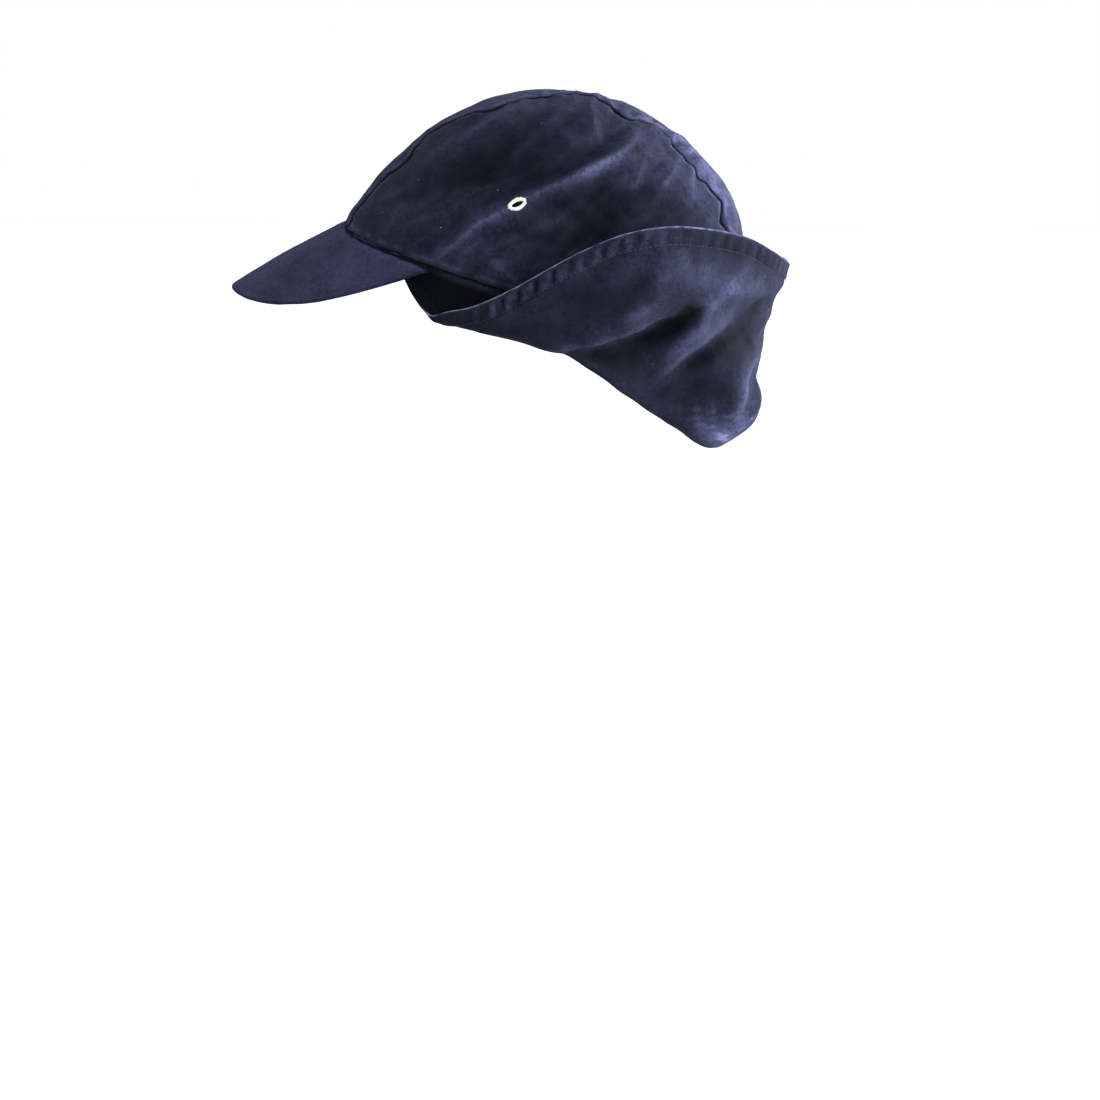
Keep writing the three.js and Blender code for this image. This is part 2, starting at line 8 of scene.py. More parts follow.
import bpy
import numpy as np
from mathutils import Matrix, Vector


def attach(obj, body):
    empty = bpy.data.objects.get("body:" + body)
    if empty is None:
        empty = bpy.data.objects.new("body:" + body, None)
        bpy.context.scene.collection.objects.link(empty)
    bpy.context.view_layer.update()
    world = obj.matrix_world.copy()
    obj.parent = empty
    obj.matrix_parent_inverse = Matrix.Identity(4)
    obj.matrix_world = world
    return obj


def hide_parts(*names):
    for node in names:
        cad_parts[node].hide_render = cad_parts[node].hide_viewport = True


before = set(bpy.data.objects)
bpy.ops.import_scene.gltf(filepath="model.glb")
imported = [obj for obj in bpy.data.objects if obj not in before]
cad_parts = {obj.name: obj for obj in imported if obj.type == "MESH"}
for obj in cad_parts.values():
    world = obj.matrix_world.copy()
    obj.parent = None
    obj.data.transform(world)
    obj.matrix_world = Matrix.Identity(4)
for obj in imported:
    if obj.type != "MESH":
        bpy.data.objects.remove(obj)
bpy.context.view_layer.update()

TAU = math.tau
MM = 0.001

# Cloth
WALL = 1.2          # thickness of the cloth as shown
ROUNDING = 0.9      # how far from a border its edge is rounded
LAP = 1.6           # how far the strip reaches under the side panels
LAP_DEPTH = 1.8     # how deep it lies under them
LAP_START = 1.2     # and how soon beyond the seam it is that deep
TUCK = 3.5          # how far the peak and the flap reach in behind the crown's edge
STITCH_PITCH = 2.7  # from one stitch of the hem to the next
STITCH_LONG = 1.9
STITCH_WIDE = 0.55
STITCH_HIGH = 0.42

# Cells of the grids, along and across each piece
STRIP_CELLS = (300, 52)
SIDE_CELLS = (300, 140)
FLAP_CELLS = (430, 112)
PEAK_CELLS = (200, 72)

# Millimetres for each degree over the head, around the crown's bottom seam and around the flap
OVER_ARC = 1.75
BASE_ARC = 1.6
FLAP_ARC = 2.05

# Unevenness of washed cotton: height, wavelength and seed of each layer
CROWN_RIPPLES = [(0.60, 34, 3), (0.30, 15, 5), (0.10, 7, 8)]
FLAP_RIPPLES = [(0.75, 38, 21), (0.34, 16, 22), (0.12, 7, 23)]
PEAK_RIPPLES = [(0.16, 26, 41), (0.06, 9, 42)]
# Long shallow creases in it: height, tilt, length, width and seed of each layer
CROWN_STREAKS = [(0.60, 31, 70, 17, 12), (0.32, 24, 36, 8, 13)]
FLAP_STREAKS = [(0.70, 33, 64, 19, 25), (0.30, 40, 30, 8, 26)]

# Profile of a fold: how rounded its crest is, and how much narrower than a bell
CREST_ROUNDING = 0.32
CREST_NARROWING = 1.65

# Searches for a place on the crown's bottom seam: how often they repeat, and the angles over the
# head, above the seam and below it, that they start from
HALVINGS = 30
REPEATS = 12
FRONT_SEARCH = (60.0, -20.0)
BACK_SEARCH = (140.0, 230.0)

# Crown, as in the CAD: its profile over the head, its bottom seam and its two wavy seams
HALF_WIDTH = 81.0
ARCH_POWER = 2.3
CROWN_ANGLE = [-90, -30, 0, 16, 27, 42, 56, 76, 96, 109, 120, 134, 147, 158, 167, 180, 200, 270]
CROWN_RADIUS = [140, 120, 109, 104, 98.8, 95.9, 95.2, 97.0, 99.6, 101.9, 104.2, 106.2, 109.4, 113.3,
                114.2, 111.5, 105, 140]
BASE_HEIGHT = -4.8
BASE_SLOPE = -0.305
BASE_BEND = 0.0001
FOREHEAD_ARCH = 4.8    # how far the bottom seam rises over the forehead
FOREHEAD_WIDTH = 28
STRIP_HALF = 24.5
WAVE_SIDEWAYS = 0.6    # share of a wave that moves the seam sideways
WAVE_LIFT = -0.12      # share of a wave that raises or lowers the seam
WAVE_REACH = 12.0
RIGHT_WAVE_TURN = 9.0  # the right seam's waves sit this many degrees further back
RIGHT_WAVE_SHARE = 0.6
SEAM_WAVES = [  # angle over the head, shift, width
    (17.9, 6.8, 2.1), (43.5, 10.2, 6.5), (55.3, -5, 13.5), (79.2, 12.8, 7.1), (113.8, -18, 13.8),
    (118.9, 19.2, 7.2), (131.3, -8.6, 4.6), (148.8, 6.7, 4.3), (163, 12, 3),
]
SEAM_TUCK = 1.1          # how far the cloth dips into a seam
TUCK_REACH = 5.0
FOLD_TOP = (14.0, 30.0)  # folds fade in between these distances from the middle
FOLD_BASE = (2.0, 14.0)  # and between these heights above the bottom seam
# Bulge of the strip at the back, which only the photo's outline shows: height, angle, width
STRIP_BULGE = (1.9, 144, 19)

# Folds of the crown in the side view. Each is a line of places (y, z, height) with the widths
# of its slopes above and below the line. A height below zero is a hollow.
LEFT_FOLDS = [
    ([(-44, 13, 1.6), (-20, 32, 3.6), (-8, 38, 4), (8, 47.5, 4.4), (23, 52.6, 4.6), (33, 57.7, 4.6),
      (41, 62, 4), (51, 68.5, 3.2), (57, 75, 1.6)], 7, 15),
    ([(-44, 69, 0.8), (-33, 73.5, 2.6), (-21, 81, 3), (-12, 87, 2.4), (-2, 93, 1)], 5, 10),
    ([(-66, 43, -1.4), (-47, 54, -3.2), (-27, 61, -3.8), (-11, 64.5, -3.2), (4, 62, -1.6)], 12, 11),
    ([(-1, 54, -1), (14, 59.5, -2.6), (27, 65, -3.6), (36, 70.5, -3.4), (44, 79, -1)], 7, 5),
    ([(18, 38, -2), (40, 43, -3.4), (62, 47, -3.2), (78, 44, -1.4)], 15, 14),
    ([(33, 92, 1), (35, 82, 1.7), (38, 76, 0.8)], 4, 4),
    ([(66, 74, 0.8), (60, 60, 1.6), (56, 46, 0.8)], 6, 4),
    ([(78, 62, 0.8), (72, 52, 1.7), (67, 42, 0.8)], 5, 4),
    ([(88, 60, 0.8), (84, 52, 2.2), (86, 45, 1.2)], 4, 5),
    ([(-50, 9, 0.8), (-43, 18, 1.4), (-38, 24, 0.4)], 3.5, 3.5),
    ([(-33, 11, 0.6), (-27, 18, 1.4), (-20, 24, 0.4)], 4, 4),
    ([(-14, 12, 1.8), (-2, 3, 2)], 8, 8),
    ([(-62, 30, 0.6), (-50, 34, 1.3), (-38, 38, 0.4)], 7, 8),
    ([(-72, 22, 0.6), (-66, 36, 1.6), (-58, 52, 0.8)], 7, 7),
    ([(10, 24, -1.2), (28, 28, -1.8), (44, 26, -1)], 8, 8),
    ([(14, 84, 0.6), (22, 76, 1.4), (27, 68, 0.4)], 5, 4),
]
RIGHT_FOLDS = [
    ([(-52, 22, 1.2), (-30, 30, 3.4), (-8, 38, 3.8), (8, 44, 3.6), (26, 52, 3.4), (52, 64, 2.4)], 8, 13),
    ([(-50, 52, -1.6), (-24, 63, -3.2), (6, 75, -2)], 12, 11),
    ([(24, 30, -2.2), (48, 37, -3.2), (70, 44, -1.6)], 15, 13),
    ([(-36, 72, 1), (-20, 80, 2.6), (-4, 90, 1)], 5, 9),
    ([(60, 74, 1), (57, 62, 1.8), (54, 50, 0.8)], 5, 4.5),
    ([(84, 62, 0.8), (82, 52, 2), (84, 44, 1)], 4, 5),
    ([(-70, 24, 0.6), (-64, 37, 1.5), (-56, 50, 0.7)], 7, 7),
    ([(-20, 8, 1), (-8, 14, 1.7), (2, 20, 0.6)], 5, 5),
]
# Painted shade (LEFT_SHADE) and painted highlights (LEFT_LIGHT) where the left of the crown is darker or
# paler than its folds alone make it:
# lines of places (y, z, strength) with their widths. Strengths below zero are soft edged.
LEFT_SHADE = [
    ([(-6, 49, -0.3), (8, 51.5, -0.7), (22, 56.5, -0.9), (32, 62, -1.1), (40, 67, -0.6)], 6.5, 2.4),
    ([(-65, 44, -0.3), (-47, 54, -0.4), (-27, 61.5, -0.35), (-11, 64.5, -0.35), (4, 62, -0.3)], 7, 7),
    ([(-27, 69.5, -0.4), (9, 82.5, -0.4)], 5, 4),
    ([(9, 73.5, -0.5), (26, 69.5, -0.6)], 5, 4),
    ([(19, 80, -0.4), (27, 87.5, -0.5)], 2.5, 2.5),
    ([(60, 62, -0.4), (66, 70, -0.5)], 3.5, 3.5),
    ([(4, 22, -0.3), (24, 28, -0.4), (50, 33, -0.5), (80, 31, -0.6)], 8, 12),
    ([(8, 39, -0.4), (34, 45, -0.5), (50, 47, -0.3)], 6, 6),
    ([(60, 46, -0.2), (76, 44, -0.5)], 5, 5),
    ([(-78, 18, -0.3), (-60, 10, -0.5), (-42, 4, -0.4)], 8, 7),
    ([(6, 37, -0.3), (24, 44, -0.6), (36, 49, -0.6), (48, 56, -0.4)], 4, 4.5),
]
LEFT_LIGHT = [
    ([(-44, 14, 0.6), (-20, 31.5, 0.9), (-8, 37.5, 0.9), (8, 46.5, 0.8), (23, 51.8, 0.8), (33, 57, 0.9),
      (41, 61.2, 1), (51, 67.5, 0.8), (57, 73, 0.4)], 1.1, 2.6),
    ([(-64, 61, -0.3), (-38, 70, -0.4), (-20, 80, -0.3)], 6, 5),
    ([(-98, 30, -0.6), (-84, 50, -0.6), (-68, 66, -0.3)], 7, 10),
    ([(0, 93, -0.4), (20, 94, -0.8), (40, 89, -0.4)], 4, 5),
    ([(-40, 70, 0.4), (-22, 79.5, 0.8), (-11, 86, 0.7), (-4, 91, 0.3)], 1, 2.5),
    ([(36, 89, 0.5), (41, 74, 0.4)], 2, 3),
    ([(86, 50, -0.3), (96, 42, -0.3)], 5, 7),
    ([(78, 62, 0.4), (72, 52, 0.5), (67, 44, 0.3)], 2, 3),
    ([(-11, 10, -0.3), (-1, 3, -0.3)], 4, 4),
]

# Peak, as in the CAD
PEAK_END = 58.0          # where it ends on the bottom seam, in degrees from the front
PEAK_LENGTH = 114.0      # from its ends to its tip
PEAK_POWER = 2.2         # how blunt its front edge is
PEAK_ROOT_HEIGHT = 29.4  # height of its middle line at the forehead
PEAK_ROOT_Y = -99.8
PEAK_SLOPE = 0.546
PEAK_BEND = 0.0022       # how that slope eases off behind the root
PEAK_WALL = 2.2
PEAK_CROWN = 1.2         # how far its middle bulges
PEAK_DROP = 0.7          # its root sits this far below the seam
PEAK_ARC = 92            # millimetres along its root, from the middle to an end

# Neck flap: angle, inset, then radius and height of fold, low, belly and hem. It is the CAD's,
# but for a hem that is 1.2 to 2 higher at the back, as in the photo's outline.
FLAP_SECTIONS = np.array([
    (44, 4, 89, 10.6, 89, 9.8, 89, 9, 89, 8.2),
    (50, 4, 88, 2.5, 88, 0, 88.2, -2.5, 88.4, -5),
    (56, 3.8, 87.2, -5.5, 87.4, -8.6, 88.2, -11.4, 89.6, -13),
    (61, 2.4, 87, -13.2, 89, -16.2, 91.4, -16.4, 92.8, -14),
    (67, 0.6, 86.6, -17.2, 90.2, -18.6, 93.2, -16, 94.4, -11.6),
    (76, 0, 85.4, -21.2, 91, -20.4, 95.2, -16, 96.6, -8.4),
    (88, 0, 85.2, -25.6, 92.6, -24, 98, -14, 99.2, 0.6),
    (102, 0, 87, -30.6, 96, -30, 104, -18, 105, 14.8),
    (109, 0, 89, -36.4, 96, -24, 108.6, -24.4, 109.4, 21.8),
    (118, 0, 90, -45.4, 96.5, -19, 113.4, -21.6, 115.4, 29),
    (128, 0, 90.4, -55.6, 102, -14, 117.4, -12, 122.6, 32.4),
    (138, 0, 90.6, -65, 112, -30, 120, -9, 127.2, 30.8),
    (150, 0, 91.4, -75, 119, -54, 121, -18, 130.2, 26),
    (163, 0, 96, -86, 124.4, -69, 119.8, -31, 132.6, 17.4),
    (172, 0, 99, -88.6, 120, -70, 119.6, -36, 134.4, 12),
    (180, 0, 100, -89, 116, -70, 119.6, -38, 136.2, 8.2),
])
INNER_SHARE = 0.55       # where between seam and fold the inner wall is placed
INNER_HOLLOW = 1.5       # how far it lies inside the straight line there
FLAP_DROP = 0.6          # its top edge sits this far below the seam, before it is tucked in
RIGHT_HEM_DROP = 11.0    # the hem hangs this much lower on the right
RIGHT_DROP_REACH = 30.0  # degrees from centre back over which that drop grows
FOLD_SHARE = 0.4         # where the fold lies between seam and hem
HEM_BAND = 9.3           # width of the turned hem
HEM_WALL = 1.9           # its thickness
CUFF_FOLDS = [
    ([(60, -55, 2.6), (66, -45, 4.6), (77, -31, 4.8), (88, -20, 4.8), (94, -9, 3.4)], 4.5, 9),
    ([(116, -30, 1.2), (114.5, -42, 2.8), (112, -58, 2.6), (107, -70, 0.8)], 2.8, 10),
    ([(50, -31, -3), (66, -26, -4.6), (78, -18.5, -5.2), (84, -13, -4)], 6, 7.5),
    ([(52, -14, 1.4), (66, -8, 2), (80, 2, 1.2)], 7, 9),
    ([(104, 2, 0.8), (112, 10, 1.6), (118, 20, 0.8)], 6, 6),
    ([(112, -66, 1), (112, -56, 2.2), (110, -44, 1)], 4, 4),
    ([(66, -62, -1.2), (80, -60, -2), (94, -68, -1.2)], 8, 8),
]
CUFF_CREASES = [          # sharp valleys, with their depths
    ([(64, -54, 1), (73, -46, 3.4), (84, -38, 4.6), (97, -31, 5), (112, -19, 4.6),
      (130, -8, 3)], 6.5, 5.5),
]
# Upright folds around the back of the flap: places (angle around, z, height), then the widths
# before and behind
BACK_FOLDS = [
    ([(161, -24, 0.8), (165, -40, 2.6), (165, -58, 2.8), (160, -72, 1)], 3.4, 5),
    ([(150, -66, 0.8), (156, -76, 1.6), (166, -83, 0.6)], 4, 4),
    ([(178, -20, 0.8), (181, -44, 2.4), (184, -66, 1)], 6, 5),
    ([(199, -10, 1), (196, -36, 2.8), (201, -62, 1.4)], 5, 7),
    ([(214, -2, 1.4), (211, -28, 3), (217, -50, 1.6)], 8, 6),
    ([(236, 4, 1), (231, -14, 2.4), (228, -38, 1.2)], 7, 7),
]
# Painted shade (CUFF_SHADE) and painted highlights (CUFF_LIGHT) where the left of the cuff is darker or
# paler than its folds alone make it
CUFF_SHADE = [
    ([(40, -33, -0.5), (50, -31, -0.9), (66, -25.5, -1.1), (78, -18.5, -1.2), (85.5, -13, -1.2)], 4.5, 7.5),
    ([(68, -57, -0.4), (76, -50, -0.6), (87, -41, -0.7), (99, -34, -0.8), (110, -26, -1.1),
      (122, -16, -1.3)], 1.8, 9),
    ([(38, -42, -1.1), (56, -46, -0.9), (76, -36, -0.3)], 9, 9),
    ([(30, -38, -0.9), (46, -50, -1.3), (60, -62, -1), (78, -76, -0.6)], 8, 9),
    ([(84, 26, -0.3), (104, 22, -0.9), (126, 12, -1)], 8, 10),
    ([(82, -3, -0.6), (60, -3, -0.6), (40, -6, -0.8), (22, -12, -0.5)], 11, 11),
    ([(84, -58, -0.5), (102, -53, -1), (108, -44, -0.5)], 8, 8),
    ([(114, -38, -0.6), (120, -28, -0.9)], 5, 7),
    ([(-42, -18, -0.6), (-2, -22, -0.5), (20, -30, -0.3)], 8, 8),
]
CUFF_LIGHT = [
    ([(65, -53, 1.1), (73, -44.5, 1.7), (84, -36.5, 1.4), (97, -29.5, 1.1), (112, -17.5, 0.8),
      (125, -10, 0.5)], 9, 1.2),
    ([(110, -2, -0.4), (124, -7, -0.7)], 5, 5),
    ([(60, -54, -0.8), (67, -47, -1.3), (78, -36, -0.7)], 3.5, 3.5),
    ([(84, 12, -0.5), (100, 6, -0.6), (112, 0, -0.2)], 8, 12),
    ([(20, -31, 0.7), (46, -26.5, 0.8), (65, -20.5, 0.8), (70, -16, 0.5)], 4, 1),
    ([(116, -33, 0.8), (114.8, -44, 1), (112.5, -58, 0.9)], 1, 1),
    ([(86, -83, -1.2), (102, -81, -2.3), (113, -74, -1.7)], 8, 8),
]

# Eyelets, placed and tilted as in the CAD, with a slightly narrower ring
EYELET_Y = -1.8
EYELET_Z = 40.7
EYELET_LONG = 4.95      # half length and half width of the ring
EYELET_SHORT = 3.25
EYELET_HOLE_LONG = 3.1  # half length and half width of its hole
EYELET_HOLE_SHORT = 1.3
EYELET_PROUD = 0.55     # how far the thread stands above the cloth
EYELET_TILT = 31.0      # degrees that the ring's long side rises toward the back
EYELET_WRAPS = 38       # stitches around the ring
EYELET_AROUND = 456     # places around the ring, twelve to a stitch
EYELET_SECTION = 28     # places around the ring's section

# Colours that the cloth materials share, and the most paleness (wear and painted highlights) away from a
# rim
RIM_START = 0.72  # paleness (wear and painted highlights) above this is the palest, at the rim
RIM_COLOUR = (0.115, 0.123, 0.185, 1)
LINT_COLOUR = (0.30, 0.31, 0.36, 1)
# Colour of painted shade, and of the darker random patches
SHADE_AND_PATCH_COLOUR = (0.0006, 0.0008, 0.0018, 1)
CROWN_PALEST = 0.68


# Small mathematics

def mix(a, b, share):
    return a + (b - a) * share


def bell(distance, width):
    return np.exp(-((distance / width) ** 2))


def crest(distance, width):
    """Like a bell, but with a sharper top and straighter slopes, as creased cloth has."""
    slope = CREST_NARROWING * distance / width
    return np.exp(CREST_ROUNDING - np.sqrt(CREST_ROUNDING**2 + slope**2))


def fade(start, end, value):
    t = np.clip((value - start) / (end - start), 0, 1)
    return t * t * (3 - 2 * t)


def unit(v):
    return v / np.maximum(np.linalg.norm(v, axis=-1, keepdims=True), 1e-9)


def xyz(p):
    return p[..., 0], p[..., 1], p[..., 2]


def curve(keys, values, at):
    """Smooth curve through the values at the keys; values may hold one column for each place."""
    keys, values, at = np.asarray(keys, float), np.asarray(values, float), np.asarray(at, float)
    wide = (-1,) + (1,) * (values.ndim - 1)
    slopes = np.empty_like(values)
    slopes[1:-1] = (values[2:] - values[:-2]) / (keys[2:] - keys[:-2]).reshape(wide)
    slopes[0] = (values[1] - values[0]) / (keys[1] - keys[0])
    slopes[-1] = (values[-1] - values[-2]) / (keys[-1] - keys[-2])
    i = np.clip(np.searchsorted(keys, at, side="left") - 1, 0, len(keys) - 2)
    span = keys[i + 1] - keys[i]
    t = np.clip((at - keys[i]) / span, 0, 1)
    if values.ndim > 1:
        t, span = t.reshape(wide), span.reshape(wide)
    return (values[i] * (2 * t**3 - 3 * t**2 + 1) + slopes[i] * span * (t**3 - 2 * t**2 + t)
            + values[i + 1] * (3 * t**2 - 2 * t**3) + slopes[i + 1] * span * (t**3 - t**2))


def ripples(p, length, seed, count=14):
    """Gentle unevenness of about that wavelength, from waves in scattered directions."""
    rng = np.random.default_rng(seed)
    total = np.zeros(p.shape[:-1])
    for _ in range(count):
        direction = unit(rng.normal(size=3))
        step = TAU / (length * rng.uniform(0.7, 1.5))
        total += np.sin(p @ direction * step + rng.uniform(0, TAU))
    return total / math.sqrt(count)


def streaks(y, z, tilt, long, short, seed):
    """Long shallow creases that run mostly one way in the side view."""
    turn = math.radians(tilt)
    a = y * math.cos(turn) + z * math.sin(turn)
    b = z * math.cos(turn) - y * math.sin(turn)
    b = b + 0.4 * short * np.sin(a / long * 4.4 + seed)
    return ripples(np.stack([a / long, b / short, 0 * a], axis=-1), 1.0, seed, 16)


def rippled(p, layers):
    return sum(height * ripples(p, length, seed) for height, length, seed in layers)


def streaked(y, z, layers):
    return sum(height * streaks(y, z, *layer) for height, *layer in layers)


def uneven_wave(run, pitch, sway, slow, phase=0):
    """Wave along a run whose pitch wanders, as sewing gathers cloth."""
    return np.sin(run / pitch * TAU + sway * np.sin(run / slow) + phase)


def fold_height(folds, y, z, line_width=None):
    """Height of the folds at places of the side view. With a line width it is the strength of the
    lines along their crests instead."""
    height = np.zeros(np.broadcast(y, z).shape)
    for line, above, below in folds:
        nearest = np.full(height.shape, 1e9)
        found = np.zeros(height.shape)
        for (y0, z0, h0), (y1, z1, h1) in zip(line, line[1:]):
            dy, dz = y1 - y0, z1 - z0
            share = ((y - y0) * dy + (z - z0) * dz) / (dy * dy + dz * dz)
            t = np.clip(share, 0, 1)
            distance = np.hypot(y - y0 - dy * t, z - z0 - dz * t)
            upper = (z - z0) * dy - (y - y0) * dz > 0
            width = np.where(upper, above, below) if line_width is None else line_width
            value = mix(h0, h1, t) * (crest(distance, width) if h0 > 0 else bell(distance, width))
            closer = distance < nearest
            found = np.where(closer, value, found)
            nearest = np.minimum(distance, nearest)
        height += found
    return height


def along(points, axis):
    """Distance run along one axis of a grid of places."""
    steps = np.linalg.norm(np.diff(points, axis=axis), axis=-1)
    start = np.zeros_like(np.take(steps, [0], axis=axis))
    return np.concatenate([start, np.cumsum(steps, axis=axis)], axis=axis)


def grid_normals(points):
    across = np.cross(np.gradient(points, axis=0), np.gradient(points, axis=1))
    return unit(across)


# Crown

def seam_wave(angle, side):
    turn = np.where(side < 0, RIGHT_WAVE_TURN, 0)
    share = np.where(side < 0, RIGHT_WAVE_SHARE, 1)
    return share * sum(shift * bell(angle - turn - at, width) for at, shift, width in SEAM_WAVES)


def strip_half(angle, side):
    return STRIP_HALF + WAVE_SIDEWAYS * seam_wave(angle, side)


def base_height(x, y):
    """Height of the crown's bottom seam."""
    arch = np.where(y < 0, FOREHEAD_ARCH * bell(x, FOREHEAD_WIDTH), 0)
    return BASE_HEIGHT + BASE_SLOPE * y + BASE_BEND * y * y + arch


def head_angle(y, z):
    """Angle over the head in degrees, from the front over the top to the back."""
    angle = np.degrees(np.arctan2(z, -y))
    return np.where(angle < -90, angle + 360, angle)


def crown_shape(direction):
    """Smooth crown in a direction from the origin."""
    upright = np.hypot(direction[..., 1], direction[..., 2])
    radius = curve(CROWN_ANGLE, CROWN_RADIUS, head_angle(direction[..., 1], direction[..., 2]))
    across = (np.abs(direction[..., 0]) / HALF_WIDTH) ** ARCH_POWER
    over = (upright / radius) ** ARCH_POWER
    return direction * ((across + over) ** (-1 / ARCH_POWER))[..., None]


def strip_gathers(angle, x):
    """Creases that the seams pull across the centre strip, from about -1.5 to 1.5."""
    run = angle * OVER_ARC
    bend = 0.35 * np.sin(x / 9 + run / 23)
    wide = ripples(np.stack([run / 13 + bend, x / 34, 0 * x], axis=-1), 1.0, 31)
    return wide + 0.5 * ripples(np.stack([run / 7 + bend, x / 19, 0 * x], axis=-1), 1.0, 32)


def crown_relief(p):
    """Height of the creased cloth above places of the smooth crown."""
    x, y, z = xyz(p)
    side = np.where(x < 0, -1, 1)
    angle = head_angle(y, z)
    from_seam = np.abs(x) - strip_half(angle, side)
    from_base = z - base_height(x, y)
    low = fade(*FOLD_BASE, from_base)
    high = fade(*FOLD_TOP, np.abs(x))
    relief = WAVE_LIFT * seam_wave(angle, side) * bell(from_seam, WAVE_REACH) * low
    relief -= SEAM_TUCK * (bell(from_seam, TUCK_REACH) + bell(from_base, TUCK_REACH))
    folds = np.where(x > 0, fold_height(LEFT_FOLDS, y, z), fold_height(RIGHT_FOLDS, y, z))
    relief += folds * high * low
    # Puckers across the two seams, stronger toward the back
    run = angle * OVER_ARC
    pucker = 0.75 * uneven_wave(run, 9.5, 1.7, 31, side) + 0.30 * uneven_wave(run, 5.3, 2.1, 17, 2 * side)
    near_seam = np.exp(-np.abs(from_seam) / 6.5) * (1 - bell(from_seam, 2.4)) * low
    relief += pucker * near_seam * (0.5 + 0.8 * fade(70, 120, angle))
    # A ridge on the strip's side of each seam, and the groove of the seam itself
    relief += 0.40 * bell(from_seam + 2.8, 1.8) - 0.90 * bell(from_seam, 1.25)
    # The strip bulges at the back and is gathered beside its seams
    bulge, bulge_angle, bulge_width = STRIP_BULGE
    relief += bulge * bell(angle - bulge_angle, bulge_width) * fade(-1, -7, from_seam)
    gathered = fade(-1, -5, from_seam) * (0.1 + bell(from_seam + 9, 6.5)) * fade(70, 125, angle) * low
    relief += 0.55 * strip_gathers(angle, x) * gathered
    # Puckers across the bottom seam
    run = np.degrees(np.arctan2(x, -y)) * BASE_ARC
    pucker = 0.30 * uneven_wave(run, 10.5, 1.9, 27) + 0.16 * uneven_wave(run, 6.1, 2.3, 19, 1)
    relief += pucker * np.exp(-np.abs(from_base) / 5.0)
    # Washed cotton is never quite smooth
    calm = 1 - 0.6 * bell(np.abs(x), 22)
    relief += rippled(p, CROWN_RIPPLES) * calm
    relief += streaked(y, z, CROWN_STREAKS) * high * low
    return relief


def crown_point(direction):
    p = crown_shape(direction)
    return p + unit(direction) * crown_relief(p)[..., None]


def crown_at(angle, x):
    """Place of the smooth crown at an angle over the head and a distance from its middle plane."""
    radius = curve(CROWN_ANGLE, CROWN_RADIUS, angle)
    over = (1 - (np.abs(x) / HALF_WIDTH) ** ARCH_POWER) ** (1 / ARCH_POWER) * radius
    turn = np.radians(angle)
    return np.stack([x + 0 * over, -over * np.cos(turn), over * np.sin(turn)], axis=-1)


def strip_end(v, front):
    """Angle over the head at which a line of the strip meets the bottom seam."""
    v = np.asarray(v, float)
    high, low = (np.full(v.shape, angle) for angle in (FRONT_SEARCH if front else BACK_SEARCH))
    for _ in range(HALVINGS):
        middle = (low + high) / 2
        p = crown_at(middle, v * strip_half(middle, v))
        above = p[..., 2] > base_height(p[..., 0], p[..., 1])
        high = np.where(above, middle, high)
        low = np.where(above, low, middle)
    return (low + high) / 2


def base_point(around, lift):
    """Place on the crown's bottom seam at an angle around the head."""
    turn = np.radians(around)
    level = np.stack([np.sin(turn), -np.cos(turn), 0 * turn], axis=-1)
    point = crown_shape(level)
    for _ in range(REPEATS):
        rise = (base_height(point[..., 0], point[..., 1]) + lift) / np.hypot(point[..., 0], point[..., 1])
        point = crown_shape(level + rise[..., None] * np.array([0, 0, 1.0]))
    return point


def crowded(count, share=0.88):
    """Shares from 0 to 1, closer together toward both ends."""
    t = np.linspace(0, 1, count + 1)
    return t - share * np.sin(TAU * t) / TAU


def strip_grid(cells_along, cells_across):
    u = crowded(cells_along, 0.6)[:, None]
    v = mix(-1, 1, crowded(cells_across))[None, :]
    angle = mix(strip_end(v, True), strip_end(v, False), u)
    return crown_at(angle, v * (strip_half(angle, v) + LAP))


def side_grid(side, cells_along, cells_down):
    front, back = float(strip_end(side, True)), float(strip_end(side, False))
    u = np.linspace(0, 1, cells_along + 1)
    angle = mix(front, back, u)
    top = crown_at(angle, side * strip_half(angle, side))
    around = np.degrees(np.arctan2(side * top[:, 0], -top[:, 1]))
    base = base_point(side * mix(around[0], around[-1], u), 0)
    v = crowded(cells_down)[None, :, None]
    return mix(top[:, None], base[:, None], v)


def outward(points, normals):
    """Turns the normals so that they point away from the origin on the whole."""
    return normals if (normals * points).sum() > 0 else -normals


# Neck flap

def flap_profile(u, v):
    """Middle of the flap's cloth: u around the head from the left end, v from seam to hem."""
    first = FLAP_SECTIONS[0, 0]
    count = 6  # of the places that carry a column from seam to hem
    around = mix(first, 360 - first, u)
    angle = np.where(around > 180, 360 - around, around)
    columns = curve(FLAP_SECTIONS[:, 0], FLAP_SECTIONS[:, 1:], angle).T
    inset, fold_r, fold_z, low_r, low_z, belly_r, belly_z, hem_r, hem_z = columns
    drop = RIGHT_HEM_DROP * fade(0, RIGHT_DROP_REACH, around - 180) * fade(90, 120, angle)
    seam = base_point(around, -FLAP_DROP)
    seam_r = np.hypot(seam[:, 0], seam[:, 1]) - inset - WALL / 2
    tucked = TUCK - 0.6 * np.minimum(inset, TUCK)
    inner_r = mix(seam_r, fold_r, INNER_SHARE) - INNER_HOLLOW
    inner_z = mix(seam[:, 2], fold_z, INNER_SHARE)
    stops_r = np.array([seam_r - tucked, inner_r, fold_r, low_r, belly_r, hem_r])
    stops_z = np.array([seam[:, 2] + TUCK, inner_z, fold_z, low_z, belly_z, hem_z - drop])
    r = curve(range(count), stops_r, v * (count - 1)).T
    z = curve(range(count), stops_z, v * (count - 1)).T
    turn = np.radians(around)[:, None]
    return np.stack([r * np.sin(turn), -r * np.cos(turn), z], axis=-1)


